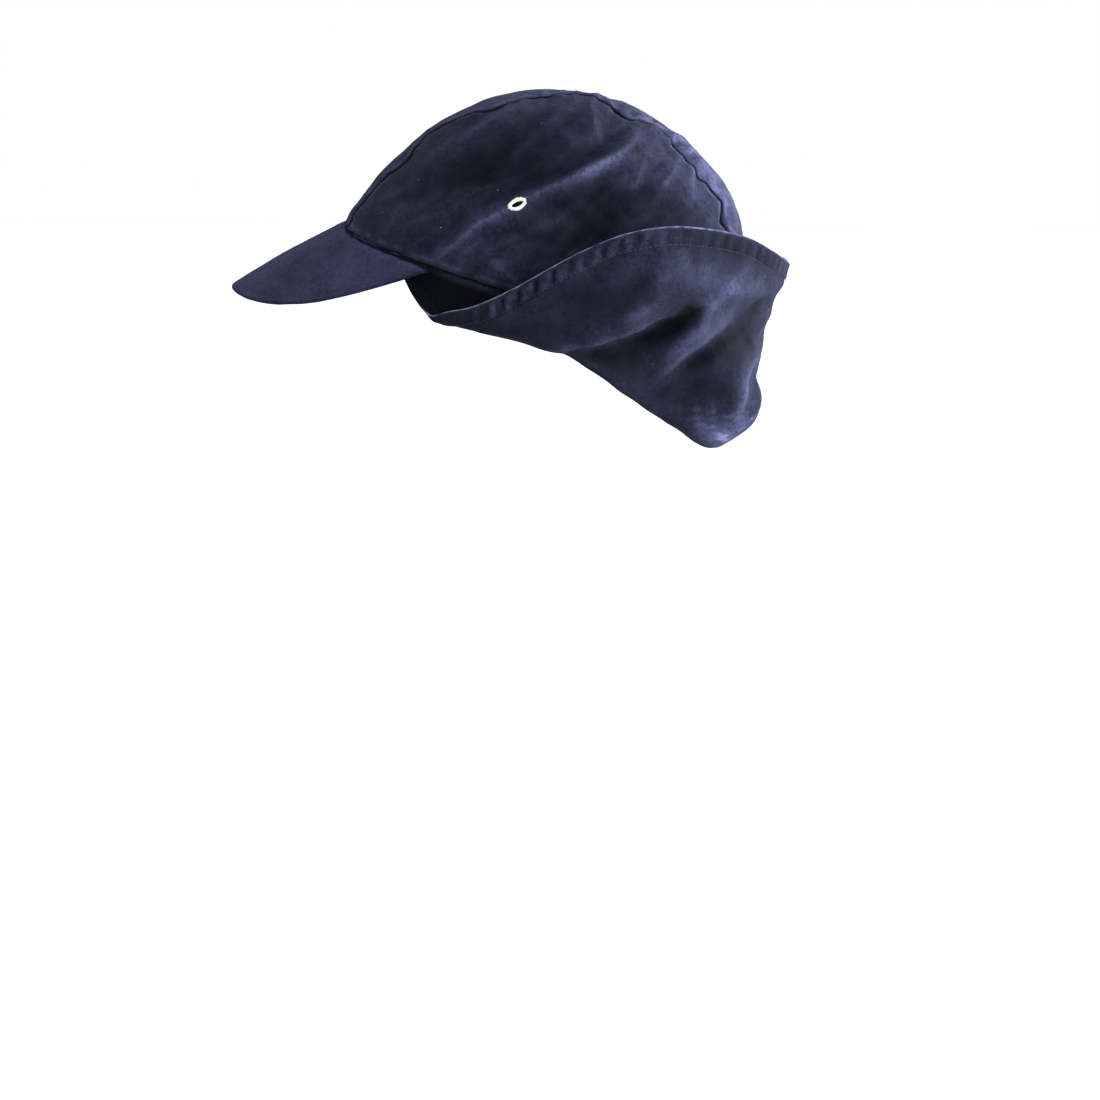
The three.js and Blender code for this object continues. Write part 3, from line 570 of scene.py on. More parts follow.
def flap_rows(length, to_fold, count):
    """Distances from the hem of a column's rows, closer together near the seam, fold and hem."""
    inside = round(count * FOLD_SHARE)
    first = to_fold[:, None] * crowded(inside, 0.72)[None, :]
    second = (length - to_fold)[:, None] * crowded(count - inside, 0.72)[None, 1:]
    return length[:, None] - np.concatenate([first, to_fold[:, None] + second], axis=1)


def flap_surface(cells_around, cells_down):
    """Grid of places of the flap's middle, each one's share of the way from seam to hem, and how
    far it is from the hem."""
    steps = 360
    u = crowded(cells_around, 0.35)
    fine_v = np.linspace(0, 1, steps + 1)
    fine = flap_profile(u, fine_v)
    run = along(fine, 1)
    length = run[:, -1]
    from_hem = flap_rows(length, run[:, round(steps * FOLD_SHARE)], cells_down)
    points = np.empty((len(u), cells_down + 1, 3))
    shares = np.empty(from_hem.shape)
    for i in range(len(u)):
        shares[i] = np.interp(length[i] - from_hem[i], run[i], fine_v)
        for k in range(3):
            points[i, :, k] = np.interp(shares[i], fine_v, fine[i, :, k])
    return points, shares, from_hem


def hem_pucker(run, from_hem):
    """Puckers across the hem, from -1 to 1, unevenly spaced along it."""
    pucker = uneven_wave(run, 9.3, 2.0, 27, 0.12 * from_hem)
    pucker += 0.45 * uneven_wave(run, 5.1, 1.7, 13, -0.2 * from_hem)
    return pucker / 1.3 * (0.75 + 0.35 * np.sin(run / 41 + 1.1))


def flap_relief(points, shares, from_hem, from_end):
    """Height of the creased cloth above the flap's smooth middle."""
    x, y, z = xyz(points)
    up = fade(0.45, 0.65, shares)  # 1 on the turned-up part
    folds = [([(a * FLAP_ARC, b, h) for a, b, h in line], *widths) for line, *widths in BACK_FOLDS]
    around = np.degrees(np.arctan2(x, -y)) % 360 * FLAP_ARC
    relief = up * (fold_height(CUFF_FOLDS, y, z) + fold_height(folds, around, z))
    relief -= up * fade(6, 32, np.abs(x)) * np.where(x > 0, 1.0, 0.7) * fold_height(CUFF_CREASES, y, z)
    run = along(points, 0)[:, -1:]
    # The hem is turned over and stitched, and the stitching gathers it
    edge = np.minimum(from_hem, from_end)
    in_band = bell(from_hem - 5.2, 4.2)
    strong = mix(0.12, 1, fade(56, 84, from_end)) * fade(6, 20, from_end) * mix(1, 0.25, fade(50, 84, y))
    relief += 1.15 * hem_pucker(run, from_hem) * in_band * strong
    relief -= 0.55 * bell(from_hem - HEM_BAND, 0.8) * fade(3, 9, from_end)
    relief += 0.25 * fade(HEM_BAND + 0.4, HEM_BAND - 1.2, from_hem)
    loose = fade(0, 16, from_hem) * up
    relief += (rippled(points, FLAP_RIPPLES) + streaked(y, z, FLAP_STREAKS)) * loose
    relief += 0.25 * ripples(points, 24, 24) * (1 - up) * fade(0, 8, edge)
    return relief


# Meshes

def place_object(name, data):
    obj = bpy.data.objects.new(name, data)
    bpy.context.scene.collection.objects.link(obj)
    return obj


def solid_cloth(name, middle, wall, normals, pinched, marks, uv, hole=None):
    """Closed sheet around a grid of middle places. Its two faces meet at the border, and the
    wall is rounded down toward it. The first and last rows of a pinched one are single points.
    The cells of a hole are left out, with a wall around them."""
    rows, columns = middle.shape[:2]
    down = along(middle, 1)
    edge = np.minimum(down, down[:, -1:] - down)
    if not pinched:
        over = along(middle, 0)
        edge = np.minimum(edge, np.minimum(over, over[-1:] - over))
    share = np.clip(edge / ROUNDING, 0, 1)
    half = (wall / 2 * np.sqrt(np.maximum(1 - (1 - share) ** 2, 0)))[..., None]
    outer, inner = middle + normals * half, middle - normals * half
    top = np.arange(rows * columns).reshape(rows, columns)
    if pinched:
        top[0, :] = top[0, 0]
        top[-1, :] = top[-1, 0]
    under = top.copy()
    under[1:-1, 1:-1] = rows * columns + np.arange((rows - 2) * (columns - 2)).reshape(rows - 2, -1)
    places = np.concatenate([outer.reshape(-1, 3), inner[1:-1, 1:-1].reshape(-1, 3)])
    marks = {key: np.concatenate([m.reshape(-1), m[1:-1, 1:-1].reshape(-1)]) for key, m in marks.items()}
    flat = np.concatenate([uv.reshape(-1, 2), uv[1:-1, 1:-1].reshape(-1, 2)])
    kept = np.ones((rows - 1, columns - 1), bool) if hole is None else ~hole
    quads = []
    for grid, turn in ((top, False), (under, True)):
        q = np.stack([grid[:-1, :-1], grid[1:, :-1], grid[1:, 1:], grid[:-1, 1:]], axis=-1)[kept]
        quads.append(q[:, ::-1] if turn else q)
    if hole is not None:
        for i, j in np.argwhere(hole):
            ring = [(i, j), (i + 1, j), (i + 1, j + 1), (i, j + 1)]
            beyond = [(i, j - 1), (i + 1, j), (i, j + 1), (i - 1, j)]
            for k, cell in enumerate(beyond):
                if kept[cell]:
                    a, b = ring[k], ring[(k + 1) % 4]
                    quads.append(np.array([[top[a], top[b], under[b], under[a]]]))
    return make_mesh(name, places, np.concatenate(quads), marks, flat)


def make_mesh(name, places, quads, marks=None, flat=None):
    """Object from places in millimetres and quads, some of them with a corner twice."""
    a, b, c, d = (places[quads[:, k]] for k in range(4))
    centre = places.mean(axis=0)
    volume = np.einsum("ij,ij->i", a - centre, np.cross(b - centre, c - centre)).sum()
    volume += np.einsum("ij,ij->i", a - centre, np.cross(c - centre, d - centre)).sum()
    if volume < 0:
        quads = quads[:, ::-1]
    used, numbers = np.unique(quads, return_inverse=True)
    quads = numbers.reshape(quads.shape)
    faces = []
    for face in quads.tolist():
        corners = list(dict.fromkeys(face))
        if len(corners) > 2:
            faces.append(corners)
    mesh = bpy.data.meshes.new(name)
    mesh.from_pydata((places[used] * MM).tolist(), [], faces)
    mesh.validate()
    mesh.polygons.foreach_set("use_smooth", [True] * len(mesh.polygons))
    for key, values in (marks or {}).items():
        layer = mesh.attributes.new(key, "FLOAT", "POINT")
        layer.data.foreach_set("value", np.clip(values[used], 0, 1).astype(np.float32))
    if flat is not None:
        layer = mesh.uv_layers.new(name="cloth")
        corner = np.empty(len(mesh.loops), np.int32)
        mesh.loops.foreach_get("vertex_index", corner)
        layer.data.foreach_set("uv", (flat[used][corner] * MM).astype(np.float32).reshape(-1))
    mesh.update()
    return place_object(name, mesh)


def crown_marks(shape, from_seam, strip, left):
    """How pale (wear and painted highlights) and how dark (painted shade and random patches) the cloth is
    at places of the crown.
    """
    x, y, z = xyz(shape)
    relief = crown_relief(shape)
    over = head_angle(y, z)
    from_base = np.abs(z - base_height(x, y))
    nearest = np.minimum(from_seam, from_base)
    patches = ripples(shape, 13, 52)
    folds = LEFT_FOLDS if left else RIGHT_FOLDS
    crest_line = np.maximum(fold_height(folds, y, z, 2.6), 0) * fade(*FOLD_TOP, np.abs(x))
    # Painted highlights on the tops of folds; pale beside the seams from wear, and rubbed at the back
    wear_and_highlights = 0.12 * fade(0.5, 4.4, relief) + 0.09 * crest_line
    worn_edge = np.clip(0.6 + 0.8 * ripples(shape, 9, 51), 0, 1.4)
    wear_and_highlights += (0.42 if strip else 0.26) * bell(nearest - 3.7, 1.2) * worn_edge
    rubbed = fade(55, 90, y) * fade(10, 30, z)
    wear_and_highlights += 0.24 * rubbed * bell(nearest - 3.4, 2.2) * np.clip(0.5 + ripples(shape, 9, 59), 0, 1.3)
    # Paler over the upper back: partly fading, partly painted light
    rear = fade(30, 80, y) * fade(20, 60, z) * np.clip(1 + 0.6 * patches, 0, 2)
    wear_and_highlights += (0.36 if strip else 0.10) * rear
    wear_and_highlights += 0.07 * np.clip(streaks(y, z, 29, 40, 6, 61), 0, 2)
    # The strip is paler over the top, partly fading and partly painted light, and mottled toward the back
    if strip:
        wear_and_highlights += 0.16 + 0.32 * bell(over - 95, 17)
        mottled = strip_gathers(over, x) + 0.8 * ripples(shape, 6, 56)
        wear_and_highlights += 0.18 * fade(75, 115, over) * fade(180, 140, over) * np.clip(mottled, -1.3, 1.6)
    # Painted shade in the seams and hollows, and darker in some random patches
    shade_and_patches = np.maximum(fade(1.75, 0.75, from_seam), fade(1.5, 0.7, from_base))
    shade_and_patches += 0.45 * fade(-0.4, -3.8, relief) + 0.12 * np.clip(streaks(y, z, 26, 46, 9, 62), 0, 2)
    shade_and_patches += 0.18 * fade(0.1, 1.6, patches)
    # Painted highlights and painted shade along the listed lines
    if left:
        wear_and_highlights += 0.24 * np.abs(fold_height(LEFT_LIGHT, y, z))
        shade_and_patches -= 0.55 * fold_height(LEFT_SHADE, y, z)
    return {"wear_and_highlights": np.minimum(wear_and_highlights, CROWN_PALEST), "shade_and_patches": shade_and_patches}


def crown_piece(name, directions):
    """Panel of the crown. A side panel ends in points, and the strip laps under both of them."""
    strip, left = name == "crown_strip", name == "crown_left"
    outer = crown_point(directions)
    shape = crown_shape(directions)
    x, y, z = xyz(shape)
    beyond = np.abs(x) - strip_half(head_angle(y, z), np.where(x < 0, -1, 1))
    if strip:
        outer = outer - unit(directions) * (LAP_DEPTH * fade(0, LAP_START, beyond))[..., None]
    normals = outward(outer, grid_normals(outer))
    if not strip:
        normals[:2], normals[-2:] = normals[2], normals[-3]
    middle = outer - normals * (WALL / 2)
    marks = crown_marks(shape, np.abs(beyond), strip, left)
    if strip:
        flat = np.stack([x, along(outer, 0)], axis=-1)
        return solid_cloth(name, middle, WALL, normals, False, marks, flat)
    down = along(outer, 1)
    flat = np.stack([y, down - down[:, -1:]], axis=-1)
    hole = eyelet_hole(1 if left else -1, middle)
    return solid_cloth(name, middle, WALL, normals, True, marks, flat, hole)


def flap_marks(points, shares, from_hem, from_end, relief, hem, pucker):
    """How pale (wear and painted highlights) and how dark (painted shade and random patches) the cloth is
    at places of the flap.
    """
    x, y, z = xyz(points)
    edge = np.minimum(from_hem, from_end * 1.4)
    from_seam = from_hem[:, :1] - from_hem
    # Pale along the rim, from wear and painted rim light; painted highlights on the tops of folds and on
    # the puckers of the hem
    frayed = np.clip(1 + 0.5 * ripples(points, 5, 55), 0.3, 1.6)
    wear_and_highlights = mix(0.9, 1.6, fade(40, 90, from_end)) * bell(edge, 0.5) * frayed
    wear_and_highlights += 0.25 * fade(1.0, 4.5, relief)
    tucked = fade(1.0, 3.0, from_hem) * fade(54, 84, from_end) * mix(1.0, 0.32, fade(50, 84, y))
    wear_and_highlights += 0.34 * hem * tucked * np.clip(pucker, 0, 1) * frayed
    # Painted shade between the hem's puckers
    shade_and_patches = 0.95 * hem * tucked * np.clip(-1.2 * pucker, 0, 1)
    # Painted shade inside and behind the peak's corner, and in hollows; darker in some random patches
    around = np.degrees(np.arctan2(np.abs(x), -y))
    inside = np.maximum(fade(0.52, 0.40, shares), fade(66, 56, around))
    shade_and_patches += inside * fade(0.5, 1.6, edge) * fade(4, 9, from_seam) * mix(1.0, 0.35, fade(-15, 40, y))
    shade_and_patches += 0.6 * fade(-0.6, -4.2, relief) + 0.18 * fade(0.1, 1.6, ripples(points, 14, 53))
    # Painted shade and painted highlights: the photo's own lines and patches, fainter on the side that it
    # doesn't show
    wear_and_highlights += 0.07 * np.maximum(fold_height(CUFF_FOLDS, y, z, 3.4), 0) * fade(0.50, 0.6, shares)
    near = fade(0.43, 0.50, shares) * fade(8, 44, np.abs(x)) * np.where(x > 0, 1.0, 0.4)
    shade_and_patches -= 0.70 * fold_height(CUFF_SHADE, y, z) * near
    wear_and_highlights += 0.26 * np.abs(fold_height(CUFF_LIGHT, y, z)) * near
    # Painted light, pale and crinkled, where it is turned up at the bottom
    wear_and_highlights += 0.5 * bell(shares - 0.44, 0.07) * fade(82, 100, y)
    crinkled = np.clip(ripples(points, 8, 57) + 0.6 * ripples(points, 4, 58), -1.2, 1.6)
    wear_and_highlights += 0.16 * crinkled * fade(-52, -72, z) * fade(0.43, 0.5, shares)
    most = np.where(z < -68, 0.95, 0.70)
    return {"wear_and_highlights": np.where(edge < 1.5, wear_and_highlights, np.minimum(wear_and_highlights, most)), "shade_and_patches": shade_and_patches}


def make_flap():
    points, shares, from_hem = flap_surface(*FLAP_CELLS)
    run = along(points, 0)
    from_end = np.minimum(run, run[-1:] - run)
    relief = flap_relief(points, shares, from_hem, from_end)
    middle = points + grid_normals(points) * relief[..., None]
    normals = grid_normals(middle)
    hem = fade(HEM_BAND + 0.5, HEM_BAND - 0.5, from_hem) * fade(1, 6, from_end)
    wall = WALL + (HEM_WALL - WALL) * hem
    pucker = hem_pucker(run[:, -1:], from_hem)
    marks = flap_marks(points, shares, from_hem, from_end, relief, hem, pucker)
    flat = np.stack([run[:, -1:] + 0 * from_hem, from_hem], axis=-1)
    piece = solid_cloth("flap_cloth", middle, wall, normals, False, marks, flat)
    return piece, middle, normals, from_hem


def peak_line(y):
    """Height of the peak's middle line."""
    behind = np.maximum(y - PEAK_ROOT_Y, 0)
    return PEAK_ROOT_HEIGHT + PEAK_SLOPE * (y - PEAK_ROOT_Y) - PEAK_BEND * behind * behind


def make_peak():
    end = base_point(np.array(PEAK_END), 0.0)
    arch = (peak_line(end[1]) - end[2] + PEAK_DROP) / end[0] ** 2
    cells_across, cells_down = PEAK_CELLS
    across = mix(-1, 1, crowded(cells_across, 0.5))[:, None]
    v = crowded(cells_down)[None, :, None]
    turn = across * TAU / 4
    x = end[0] * np.sign(turn) * np.abs(np.sin(turn)) ** (2 / PEAK_POWER)
    y = end[1] - PEAK_LENGTH * np.maximum(np.cos(turn), 0) ** (2 / PEAK_POWER)
    edge = np.stack([x, y, peak_line(y) - arch * x * x], axis=-1)
    root = base_point(across[:, 0] * PEAK_END, -PEAK_DROP - 0.9)[:, None]
    span = np.linalg.norm(root - edge, axis=-1, keepdims=True)
    tucked = TUCK * fade(0, 14, span)
    root = root + unit(root - edge) * tucked
    normal = unit(np.stack([2 * arch * x, -PEAK_SLOPE + 0 * x, 1 + 0 * x], axis=-1))
    top = mix(root, edge, v)
    down = along(top, 1)
    from_edge, from_root = down[:, -1:] - down, down - 0.57 * tucked[..., 0]
    # The middle bulges, the root is puckered and dips into its seam, and the edge is stitched
    bulge = PEAK_CROWN * np.sin(np.pi * v[..., 0]) * (1 - across**2)
    bulge += 0.26 * uneven_wave(across * PEAK_ARC, 8.5, 1.8, 21) * np.exp(-np.abs(from_root) / 5.0)
    bulge -= 0.55 * bell(from_root, 2.4)
    bulge += 0.06 * bell(from_edge - 3.2, 1.6) - 0.05 * bell(from_edge - 6.2, 1.6)
    bulge += rippled(top, PEAK_RIPPLES)
    middle = top + normal * (bulge - PEAK_WALL / 2)[..., None]
    # Pale beside the root seam from wear, paler at random, and painted light in the middle and toward the
    # front; painted shade in the root seam, along the edge and beside the stitching
    wear_and_highlights = 0.20 * bell(from_root - 3.0, 1.2) + 0.16 * bell(x, 30)
    wear_and_highlights += 0.10 * np.clip(ripples(top, 30, 43), 0, 1) + 0.14 * fade(-130, -185, top[..., 1])
    shade_and_patches = fade(1.3, 0.5, np.abs(from_root)) + 0.45 * bell(from_edge, 1.1)
    shade_and_patches += 0.08 * bell(from_edge - 5.6, 1.2)
    flat = np.stack([x + 0 * down, -down], axis=-1)
    marks = {"wear_and_highlights": wear_and_highlights, "shade_and_patches": shade_and_patches}
    return solid_cloth("peak_cloth", middle, PEAK_WALL, normal + 0 * middle, True, marks, flat)


def eyelet_frame(side):
    """An eyelet's middle on the cloth, and its directions: outward, long and short."""
    radius = float(curve(CROWN_ANGLE, CROWN_RADIUS, head_angle(EYELET_Y, EYELET_Z)))
    over = (math.hypot(EYELET_Y, EYELET_Z) / radius) ** ARCH_POWER
    x = side * HALF_WIDTH * (1 - over) ** (1 / ARCH_POWER)
    step = (-3, 0, 3)
    points = crown_point(np.array([[[x, EYELET_Y + a, EYELET_Z + b] for b in step] for a in step]))
    out = outward(points[1:2, 1:2], grid_normals(points)[1:2, 1:2])[0, 0]
    tilt = math.radians(EYELET_TILT)
    long = np.array([0, math.cos(tilt), math.sin(tilt)])
    long = unit(long - out * (long @ out))
    return points[1, 1], out, long, np.cross(out, long)


def make_eyelet(side, name):
    """Buttonhole stitches side by side around an oval hole."""
    origin, out, long, short = eyelet_frame(side)
    turn = (np.arange(EYELET_AROUND) / EYELET_AROUND * TAU)[:, None]
    section = (np.arange(EYELET_SECTION) / EYELET_SECTION * TAU)[None, :]
    rng = np.random.default_rng(7 if side > 0 else 8)
    lengths = rng.uniform(-0.34, 0.20, EYELET_WRAPS)
    which = (np.floor(turn / TAU * EYELET_WRAPS).astype(int)) % EYELET_WRAPS
    thread = np.abs(np.sin(turn / 2 * EYELET_WRAPS))
    band = 0.5 - 0.5 * np.cos(section)  # 0 at the outer edge of the ring, 1 at its hole
    reach = (1 - band) * (lengths[which] + 0.22 * thread)
    half_long = mix(EYELET_LONG, EYELET_HOLE_LONG, band) + reach
    half_short = mix(EYELET_SHORT, EYELET_HOLE_SHORT, band) + reach
    swell = 0.8 + 0.2 * thread
    height = np.sign(np.sin(section)) * np.abs(np.sin(section)) ** 0.7 * (WALL / 2 + EYELET_PROUD * swell)
    slant = 0.06 * (band - 0.5)
    places = (origin - out * WALL / 2
              + (half_long * np.cos(turn + slant))[..., None] * long
              + (half_short * np.sin(turn + slant))[..., None] * short
              + height[..., None] * out)
    ids = np.arange(EYELET_AROUND * EYELET_SECTION).reshape(EYELET_AROUND, EYELET_SECTION)
    beside, next_ring = np.roll(ids, -1, axis=0), np.roll(ids, -1, axis=1)
    quads = np.stack([ids, beside, np.roll(beside, -1, axis=1), next_ring], axis=-1).reshape(-1, 4)
    return make_mesh(name, places.reshape(-1, 3), quads)


def eyelet_hole(side, middle):
    """Which cells of a grid of places lie inside the middle of the eyelet's ring."""
    origin, out, long, short = eyelet_frame(side)
    centres = (middle[:-1, :-1] + middle[1:, :-1] + middle[1:, 1:] + middle[:-1, 1:]) / 4 - origin
    half_long = (EYELET_LONG + EYELET_HOLE_LONG) / 2
    half_short = (EYELET_SHORT + EYELET_HOLE_SHORT) / 2
    size = np.hypot(centres @ long / half_long, centres @ short / half_short)
    return (size < 1) & (np.abs(centres @ out) < 6)


def stitch_line(name, centres, tangents, normals):
    """Row of short stitches, each a small six-sided bar with tapered ends along the line."""
    sides = 6
    share = np.array([-1, -0.8, -0.3, 0.3, 0.8, 1])[:, None, None]
    size = np.array([0.15, 0.7, 1, 1, 0.7, 0.15])[:, None, None]
    turn = (np.arange(sides) / sides * TAU)[:, None]
    ahead, aside, up = (v[:, None, None] for v in (tangents, np.cross(normals, tangents), normals))
    lift = STITCH_HIGH * (np.sin(turn) * size - 0.25 * share**2)
    places = centres[:, None, None] + ahead * share * STITCH_LONG / 2 + up * lift
    places = places + aside * np.cos(turn) * size * STITCH_WIDE / 2
    ids = np.arange(len(centres) * share.size * sides).reshape(-1, share.size, sides)
    beside = np.roll(ids, -1, axis=2)
    walls = np.stack([ids[:, :-1], beside[:, :-1], beside[:, 1:], ids[:, 1:]], axis=-1)
    caps = [ids[:, 0, [5, 4, 3, 2]], ids[:, 0, [5, 2, 1, 0]],
            ids[:, -1, [0, 1, 2, 3]], ids[:, -1, [0, 3, 4, 5]]]
    return make_mesh(name, places.reshape(-1, 3), np.concatenate([walls.reshape(-1, 4), *caps]))


def hem_stitches(middle, normals, from_hem):
    """Stitches of the hem on the flap's outer and inner face, where the flap is deep enough."""
    both = np.concatenate([middle, normals], axis=-1)
    deep = [i for i in range(len(both)) if from_hem[i].max() > HEM_BAND * 4]
    rows = np.array([[np.interp(HEM_BAND, from_hem[i, ::-1], both[i, ::-1, k]) for k in range(6)]
                     for i in deep])
    points, out = rows[:, :3], unit(rows[:, 3:])
    run = along(points, 0)

    def read(values, at):
        return np.stack([np.interp(at, run, values[:, k]) for k in range(3)], axis=-1)

    margin = 4.0
    at = np.arange(margin, run[-1] - margin, STITCH_PITCH)
    centre, out = read(points, at), unit(read(out, at))
    tangent = unit(read(points, at + 0.8) - centre)
    lift = WALL / 2 + 0.12
    return [stitch_line(f"hem_stitches_{face}", centre + out * sign * lift, tangent, out * sign)
            for face, sign in (("outer", 1), ("inner", -1))]


# Materials

def new_material(name):
    material = bpy.data.materials.new(name)
    material.use_nodes = True
    nodes, links = material.node_tree.nodes, material.node_tree.links
    return material, nodes, links, nodes["Principled BSDF"]


def set_values(shader, **values):
    """Sets sockets of a shader by their names, with underscores in place of spaces."""
    for key, value in values.items():
        shader.inputs[key.replace("_", " ")].default_value = value


def cloth_material(name, dark, light, faded_and_lit, weave):
    """Washed navy twill: fine diagonal ribs, thread noise, uneven fading, worn edges and lint, with painted
    highlights and painted shade from the marks on the mesh.
    """
    material, nodes, links, shader = new_material(name)

    def node(kind, **settings):
        n = nodes.new(kind)
        for key, value in settings.items():
            if key in n.inputs.keys():
                n.inputs[key].default_value = value
            else:
                setattr(n, key, value)
        return n

    def join(value, socket):
        if hasattr(value, "is_output"):
            links.new(value, socket)
        else:
            socket.default_value = value

    def math_node(operation, a, b, clamp=False):
        n = node("ShaderNodeMath", operation=operation, use_clamp=clamp)
        join(a, n.inputs[0])
        join(b, n.inputs[1])
        return n.outputs[0]

    def blend(factor, a, b):
        n = node("ShaderNodeMix", data_type="RGBA")
        for key, value in ((0, factor), (6, a), (7, b)):
            join(value, n.inputs[key])
        return n.outputs[2]

    cloth = node("ShaderNodeUVMap", uv_map="cloth").outputs[0]
    place = node("ShaderNodeTexCoord").outputs["Object"]
    wear_and_highlights = node("ShaderNodeAttribute", attribute_name="wear_and_highlights").outputs["Fac"]
    shade_and_patches = node("ShaderNodeAttribute", attribute_name="shade_and_patches").outputs["Fac"]

    def noise(where, scale, detail, roughness=0.6):
        n = node("ShaderNodeTexNoise", Scale=scale, Detail=detail, Roughness=roughness)
        links.new(where, n.inputs["Vector"])
        return n.outputs["Fac"]

    def stretched(scale, turn=0.0):
        n = node("ShaderNodeMapping", Scale=scale, Rotation=(0, 0, math.radians(turn)))
        links.new(cloth, n.inputs["Vector"])
        return n.outputs[0]

    def total(*terms):
        """Sum of (gain, value) terms, each value taken about its middle of one half."""
        result = None
        for gain, value in terms:
            n = node("ShaderNodeMath", operation="MULTIPLY_ADD")
            join(value, n.inputs[0])
            join(gain, n.inputs[1])
            join(-gain / 2 if result is None else math_node("SUBTRACT", result, gain / 2), n.inputs[2])
            result = n.outputs[0]
        return result

    ribs = node("ShaderNodeTexWave", Scale=300.0, Distortion=5.0, Detail=4.0)
    set_values(ribs, Detail_Scale=2.4)
    links.new(stretched((1, 1, 1), 58), ribs.inputs["Vector"])
    ribs = ribs.outputs["Fac"]
    threads = noise(cloth, 1500.0, 4.0, 0.65)
    slub = noise(stretched((220, 1300, 1)), 1.0, 3.0)
    cross_slub = noise(stretched((1200, 260, 1)), 1.0, 3.0)
    nap = noise(place, 430.0, 5.0, 0.7)
    blotch = noise(place, 90.0, 5.0, 0.62)
    cloud = noise(place, 30.0, 6.0, 0.6)

    weave_height = total((0.30, ribs), (0.7, threads), (0.5, slub), (0.4, cross_slub))
    tone = total((1.0, cloud), (1.15, blotch), (1.25, nap), (0.9, threads), (0.7, slub), (0.16, ribs))
    colour = blend(math_node("ADD", tone, 0.45, clamp=True), dark, light)
    grain = math_node("ADD", total((3.2, nap), (1.8, threads)), 0.9, clamp=True)
    # Paler where worn and faded, and where highlights are painted
    worn_and_lit = math_node("MULTIPLY", wear_and_highlights, grain, clamp=True)
    colour = blend(math_node("MULTIPLY", worn_and_lit, 0.9), colour, faded_and_lit)
    # The palest places take the rim colour: a worn edge with painted rim light
    rim = math_node("MULTIPLY", math_node("SUBTRACT", wear_and_highlights, RIM_START), 2.8, clamp=True)
    colour = blend(rim, colour, RIM_COLOUR)
    lint = node("ShaderNodeTexVoronoi", Scale=95.0, Randomness=1.0)
    links.new(place, lint.inputs["Vector"])
    speck = math_node("LESS_THAN", lint.outputs["Distance"], 0.032)
    some = node("ShaderNodeSeparateColor")
    links.new(lint.outputs["Color"], some.inputs[0])
    speck = math_node("MULTIPLY", speck, math_node("GREATER_THAN", some.outputs[0], 0.72))
    colour = blend(math_node("MULTIPLY", speck, 0.5), colour, LINT_COLOUR)
    # Painted shade and darker random patches, toward the darkest colour
    grain = math_node("ADD", total((0.9, nap), (1.1, blotch), (0.5, threads)), 1.0)
    shaded = math_node("MULTIPLY", shade_and_patches, grain)
    colour = blend(math_node("MINIMUM", shaded, 0.95), colour, SHADE_AND_PATCH_COLOUR)
    links.new(colour, shader.inputs["Base Color"])
    rough = math_node("MULTIPLY_ADD", threads, 0.12)
    join(0.84, rough.node.inputs[2])
    links.new(rough, shader.inputs["Roughness"])
    set_values(shader, Specular_IOR_Level=0.05, Sheen_Weight=0.025, Sheen_Roughness=0.45,
               Sheen_Tint=(0.48, 0.54, 0.95, 1))
    bump = node("ShaderNodeBump", Strength=0.55 * weave, Distance=0.0004)
    links.new(math_node("ADD", weave_height, total((2.2, nap), (2.0, blotch))), bump.inputs["Height"])
    links.new(bump.outputs[0], shader.inputs["Normal"])
    return material


def thread_material(name, colour, shade):
    material, nodes, links, shader = new_material(name)
    place = nodes.new("ShaderNodeTexCoord").outputs["Object"]
    fibre = nodes.new("ShaderNodeTexNoise")
    set_values(fibre, Scale=2600.0, Detail=4.0)
    links.new(place, fibre.inputs["Vector"])
    mixer = nodes.new("ShaderNodeMix")
    mixer.data_type = "RGBA"
    links.new(fibre.outputs["Fac"], mixer.inputs[0])
    mixer.inputs[6].default_value = shade
    mixer.inputs[7].default_value = colour
    links.new(mixer.outputs[2], shader.inputs["Base Color"])
    set_values(shader, Roughness=0.75, Specular_IOR_Level=0.15)
    bump = nodes.new("ShaderNodeBump")
    set_values(bump, Strength=0.4, Distance=0.0002)
    links.new(fibre.outputs["Fac"], bump.inputs["Height"])
    links.new(bump.outputs[0], shader.inputs["Normal"])
    return material


# Pieces

NAVY = cloth_material("navy_twill", (0.0028, 0.0034, 0.0071, 1), (0.0150, 0.0170, 0.0328, 1),
                      (0.064, 0.071, 0.133, 1), weave=1.2)
# A paler copy of the navy twill for the peak: painted light for its brighter upper face
LIT_PEAK_NAVY = cloth_material("lit_peak_twill", (0.0100, 0.0110, 0.0235, 1), (0.0265, 0.0288, 0.0575, 1),
                           (0.055, 0.060, 0.112, 1), weave=1.1)
WHITE = thread_material("white_thread", (0.46, 0.46, 0.43, 1), (0.26, 0.27, 0.25, 1))
NAVY_THREAD = thread_material("navy_thread", (0.019, 0.021, 0.038, 1), (0.006, 0.007, 0.014, 1))


def add(piece, material, slot, *replaced):
    piece.data.materials.append(material)
    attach(piece, "root")
    if replaced:
        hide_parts(*replaced)
    return piece


add(crown_piece("crown_strip", strip_grid(*STRIP_CELLS)), NAVY, "crown_cloth", "crown_center_panel")
for side, label in ((1, "left"), (-1, "right")):
    panel = crown_piece(f"crown_{label}", side_grid(side, *SIDE_CELLS))
    add(panel, NAVY, "crown_cloth", f"crown_side_{label}")
    add(make_eyelet(side, f"eyelet_thread_{label}"), WHITE, "eyelet_thread", f"eyelet_{label}")
add(make_peak(), LIT_PEAK_NAVY, "peak_cloth", "peak")
flap, flap_middle, flap_normals, flap_from_hem = make_flap()
add(flap, NAVY, "flap_cloth", "neck_flap")
stitches = hem_stitches(flap_middle, flap_normals, flap_from_hem)
for row in stitches:
    add(row, NAVY_THREAD, "flap_cloth")

# Stage, lights and camera

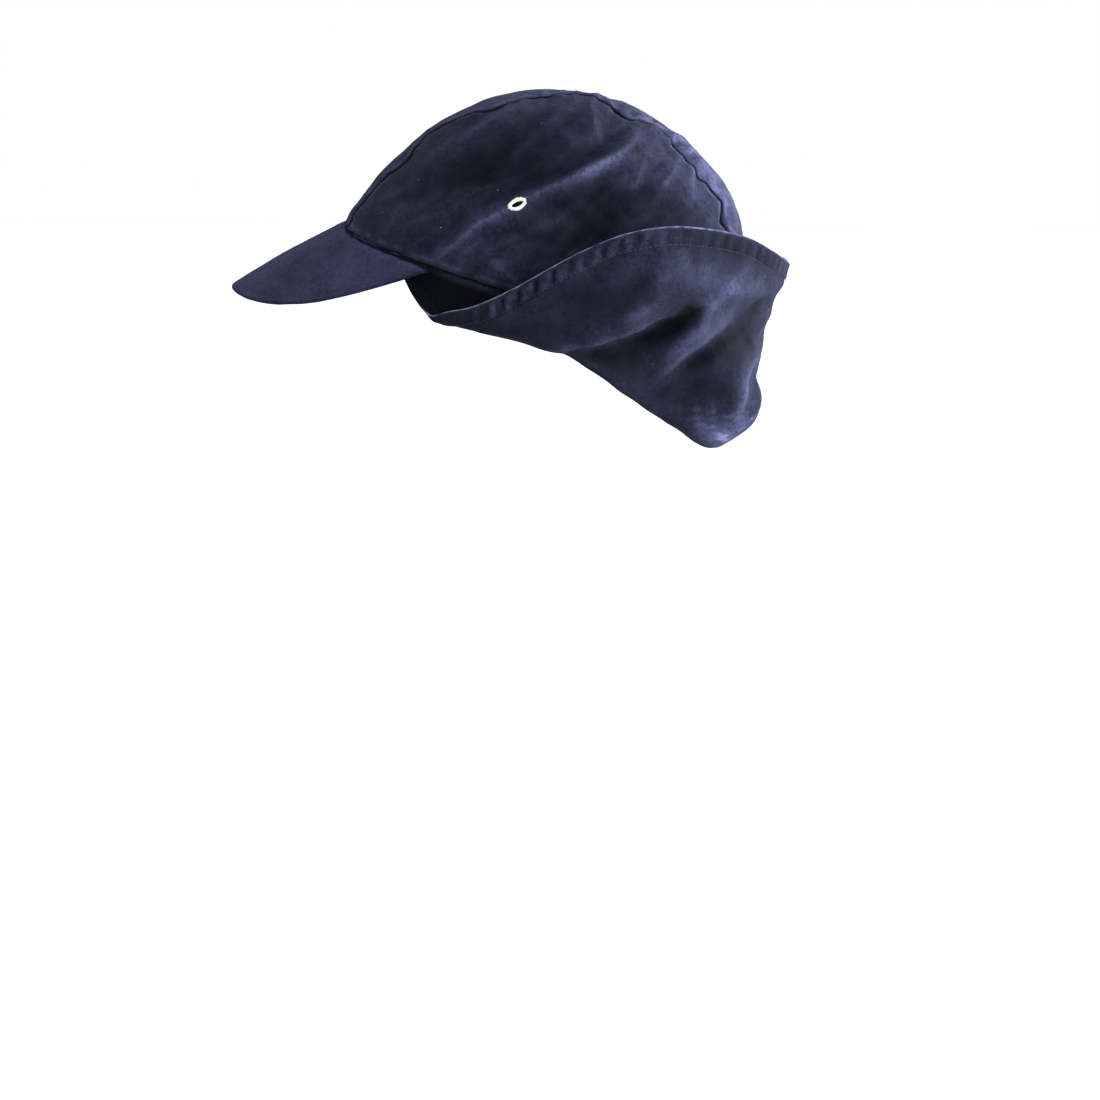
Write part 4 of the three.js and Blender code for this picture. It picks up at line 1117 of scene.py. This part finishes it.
FLOOR_Z = -0.45
FLOOR_HALF = 9.0
WINDOWS = [  # name, azimuth from +X toward +Y, height above level, strength
    ("rear_window", 90, 9, 10.6),
    ("far_rear_window", 118, 14, 5.5),
    ("near_rear_window", 42, 10, 3.4),
    ("front_window", 276, 10, 2.8),
    ("near_fill", 0, 14, 2.2),
]
WINDOW_SPREAD = 28
GLOW_PLACE = (0.26, 0.56, -0.42)
GLOW_TARGET = (0.03, 0.09, -0.06)
CAMERA_PLACE = (1.791457, 0.125271, 0.122428)
CAMERA_TARGET = (0, 0.0096, -0.147)
LENS = 110.16


def aim(obj, toward, track="-Z"):
    obj.rotation_euler = Vector(toward).to_track_quat(track, "Y").to_euler()


def stage_floor():
    mesh = bpy.data.meshes.new("floor")
    corners = [(-1, -1), (1, -1), (1, 1), (-1, 1)]
    mesh.from_pydata([(a * FLOOR_HALF, b * FLOOR_HALF, FLOOR_Z) for a, b in corners], [], [(0, 1, 2, 3)])
    floor = place_object("floor", mesh)
    material, _, _, shader = new_material("pale_floor")
    set_values(shader, Base_Color=(0.43, 0.433, 0.437, 1), Roughness=0.9)
    mesh.materials.append(material)


def soft_window(name, azimuth, height, power):
    """Even light from a direction, as from a wide window."""
    light = bpy.data.lights.new(name, "SUN")
    light.energy = power
    light.angle = math.radians(WINDOW_SPREAD)
    a, h = math.radians(azimuth), math.radians(height)
    aim(place_object(name, light), (math.cos(h) * math.cos(a), math.cos(h) * math.sin(a), math.sin(h)), "Z")


def table_glow():
    """Light that a pale table throws up from below."""
    light = bpy.data.lights.new("table_glow", "AREA")
    light.size = 0.5
    light.energy = 20.0
    obj = place_object("table_glow", light)
    obj.location = GLOW_PLACE
    aim(obj, Vector(GLOW_PLACE) - Vector(GLOW_TARGET), "Z")
    obj.visible_camera = False


stage_floor()
world = bpy.data.worlds.new("studio")
world.use_nodes = True
set_values(world.node_tree.nodes["Background"], Color=(1, 1, 1, 1), Strength=1.0)
bpy.context.scene.world = world
for window in WINDOWS:
    soft_window(*window)
table_glow()

camera = place_object("camera", bpy.data.cameras.new("camera"))
camera.data.sensor_width = 36.0
camera.data.lens = LENS
camera.data.clip_end = 60
camera.location = CAMERA_PLACE
aim(camera, Vector(CAMERA_TARGET) - camera.location)
bpy.context.scene.camera = camera
bpy.context.scene.view_settings.view_transform = "Standard"
bpy.context.scene.view_settings.gamma = 0.86
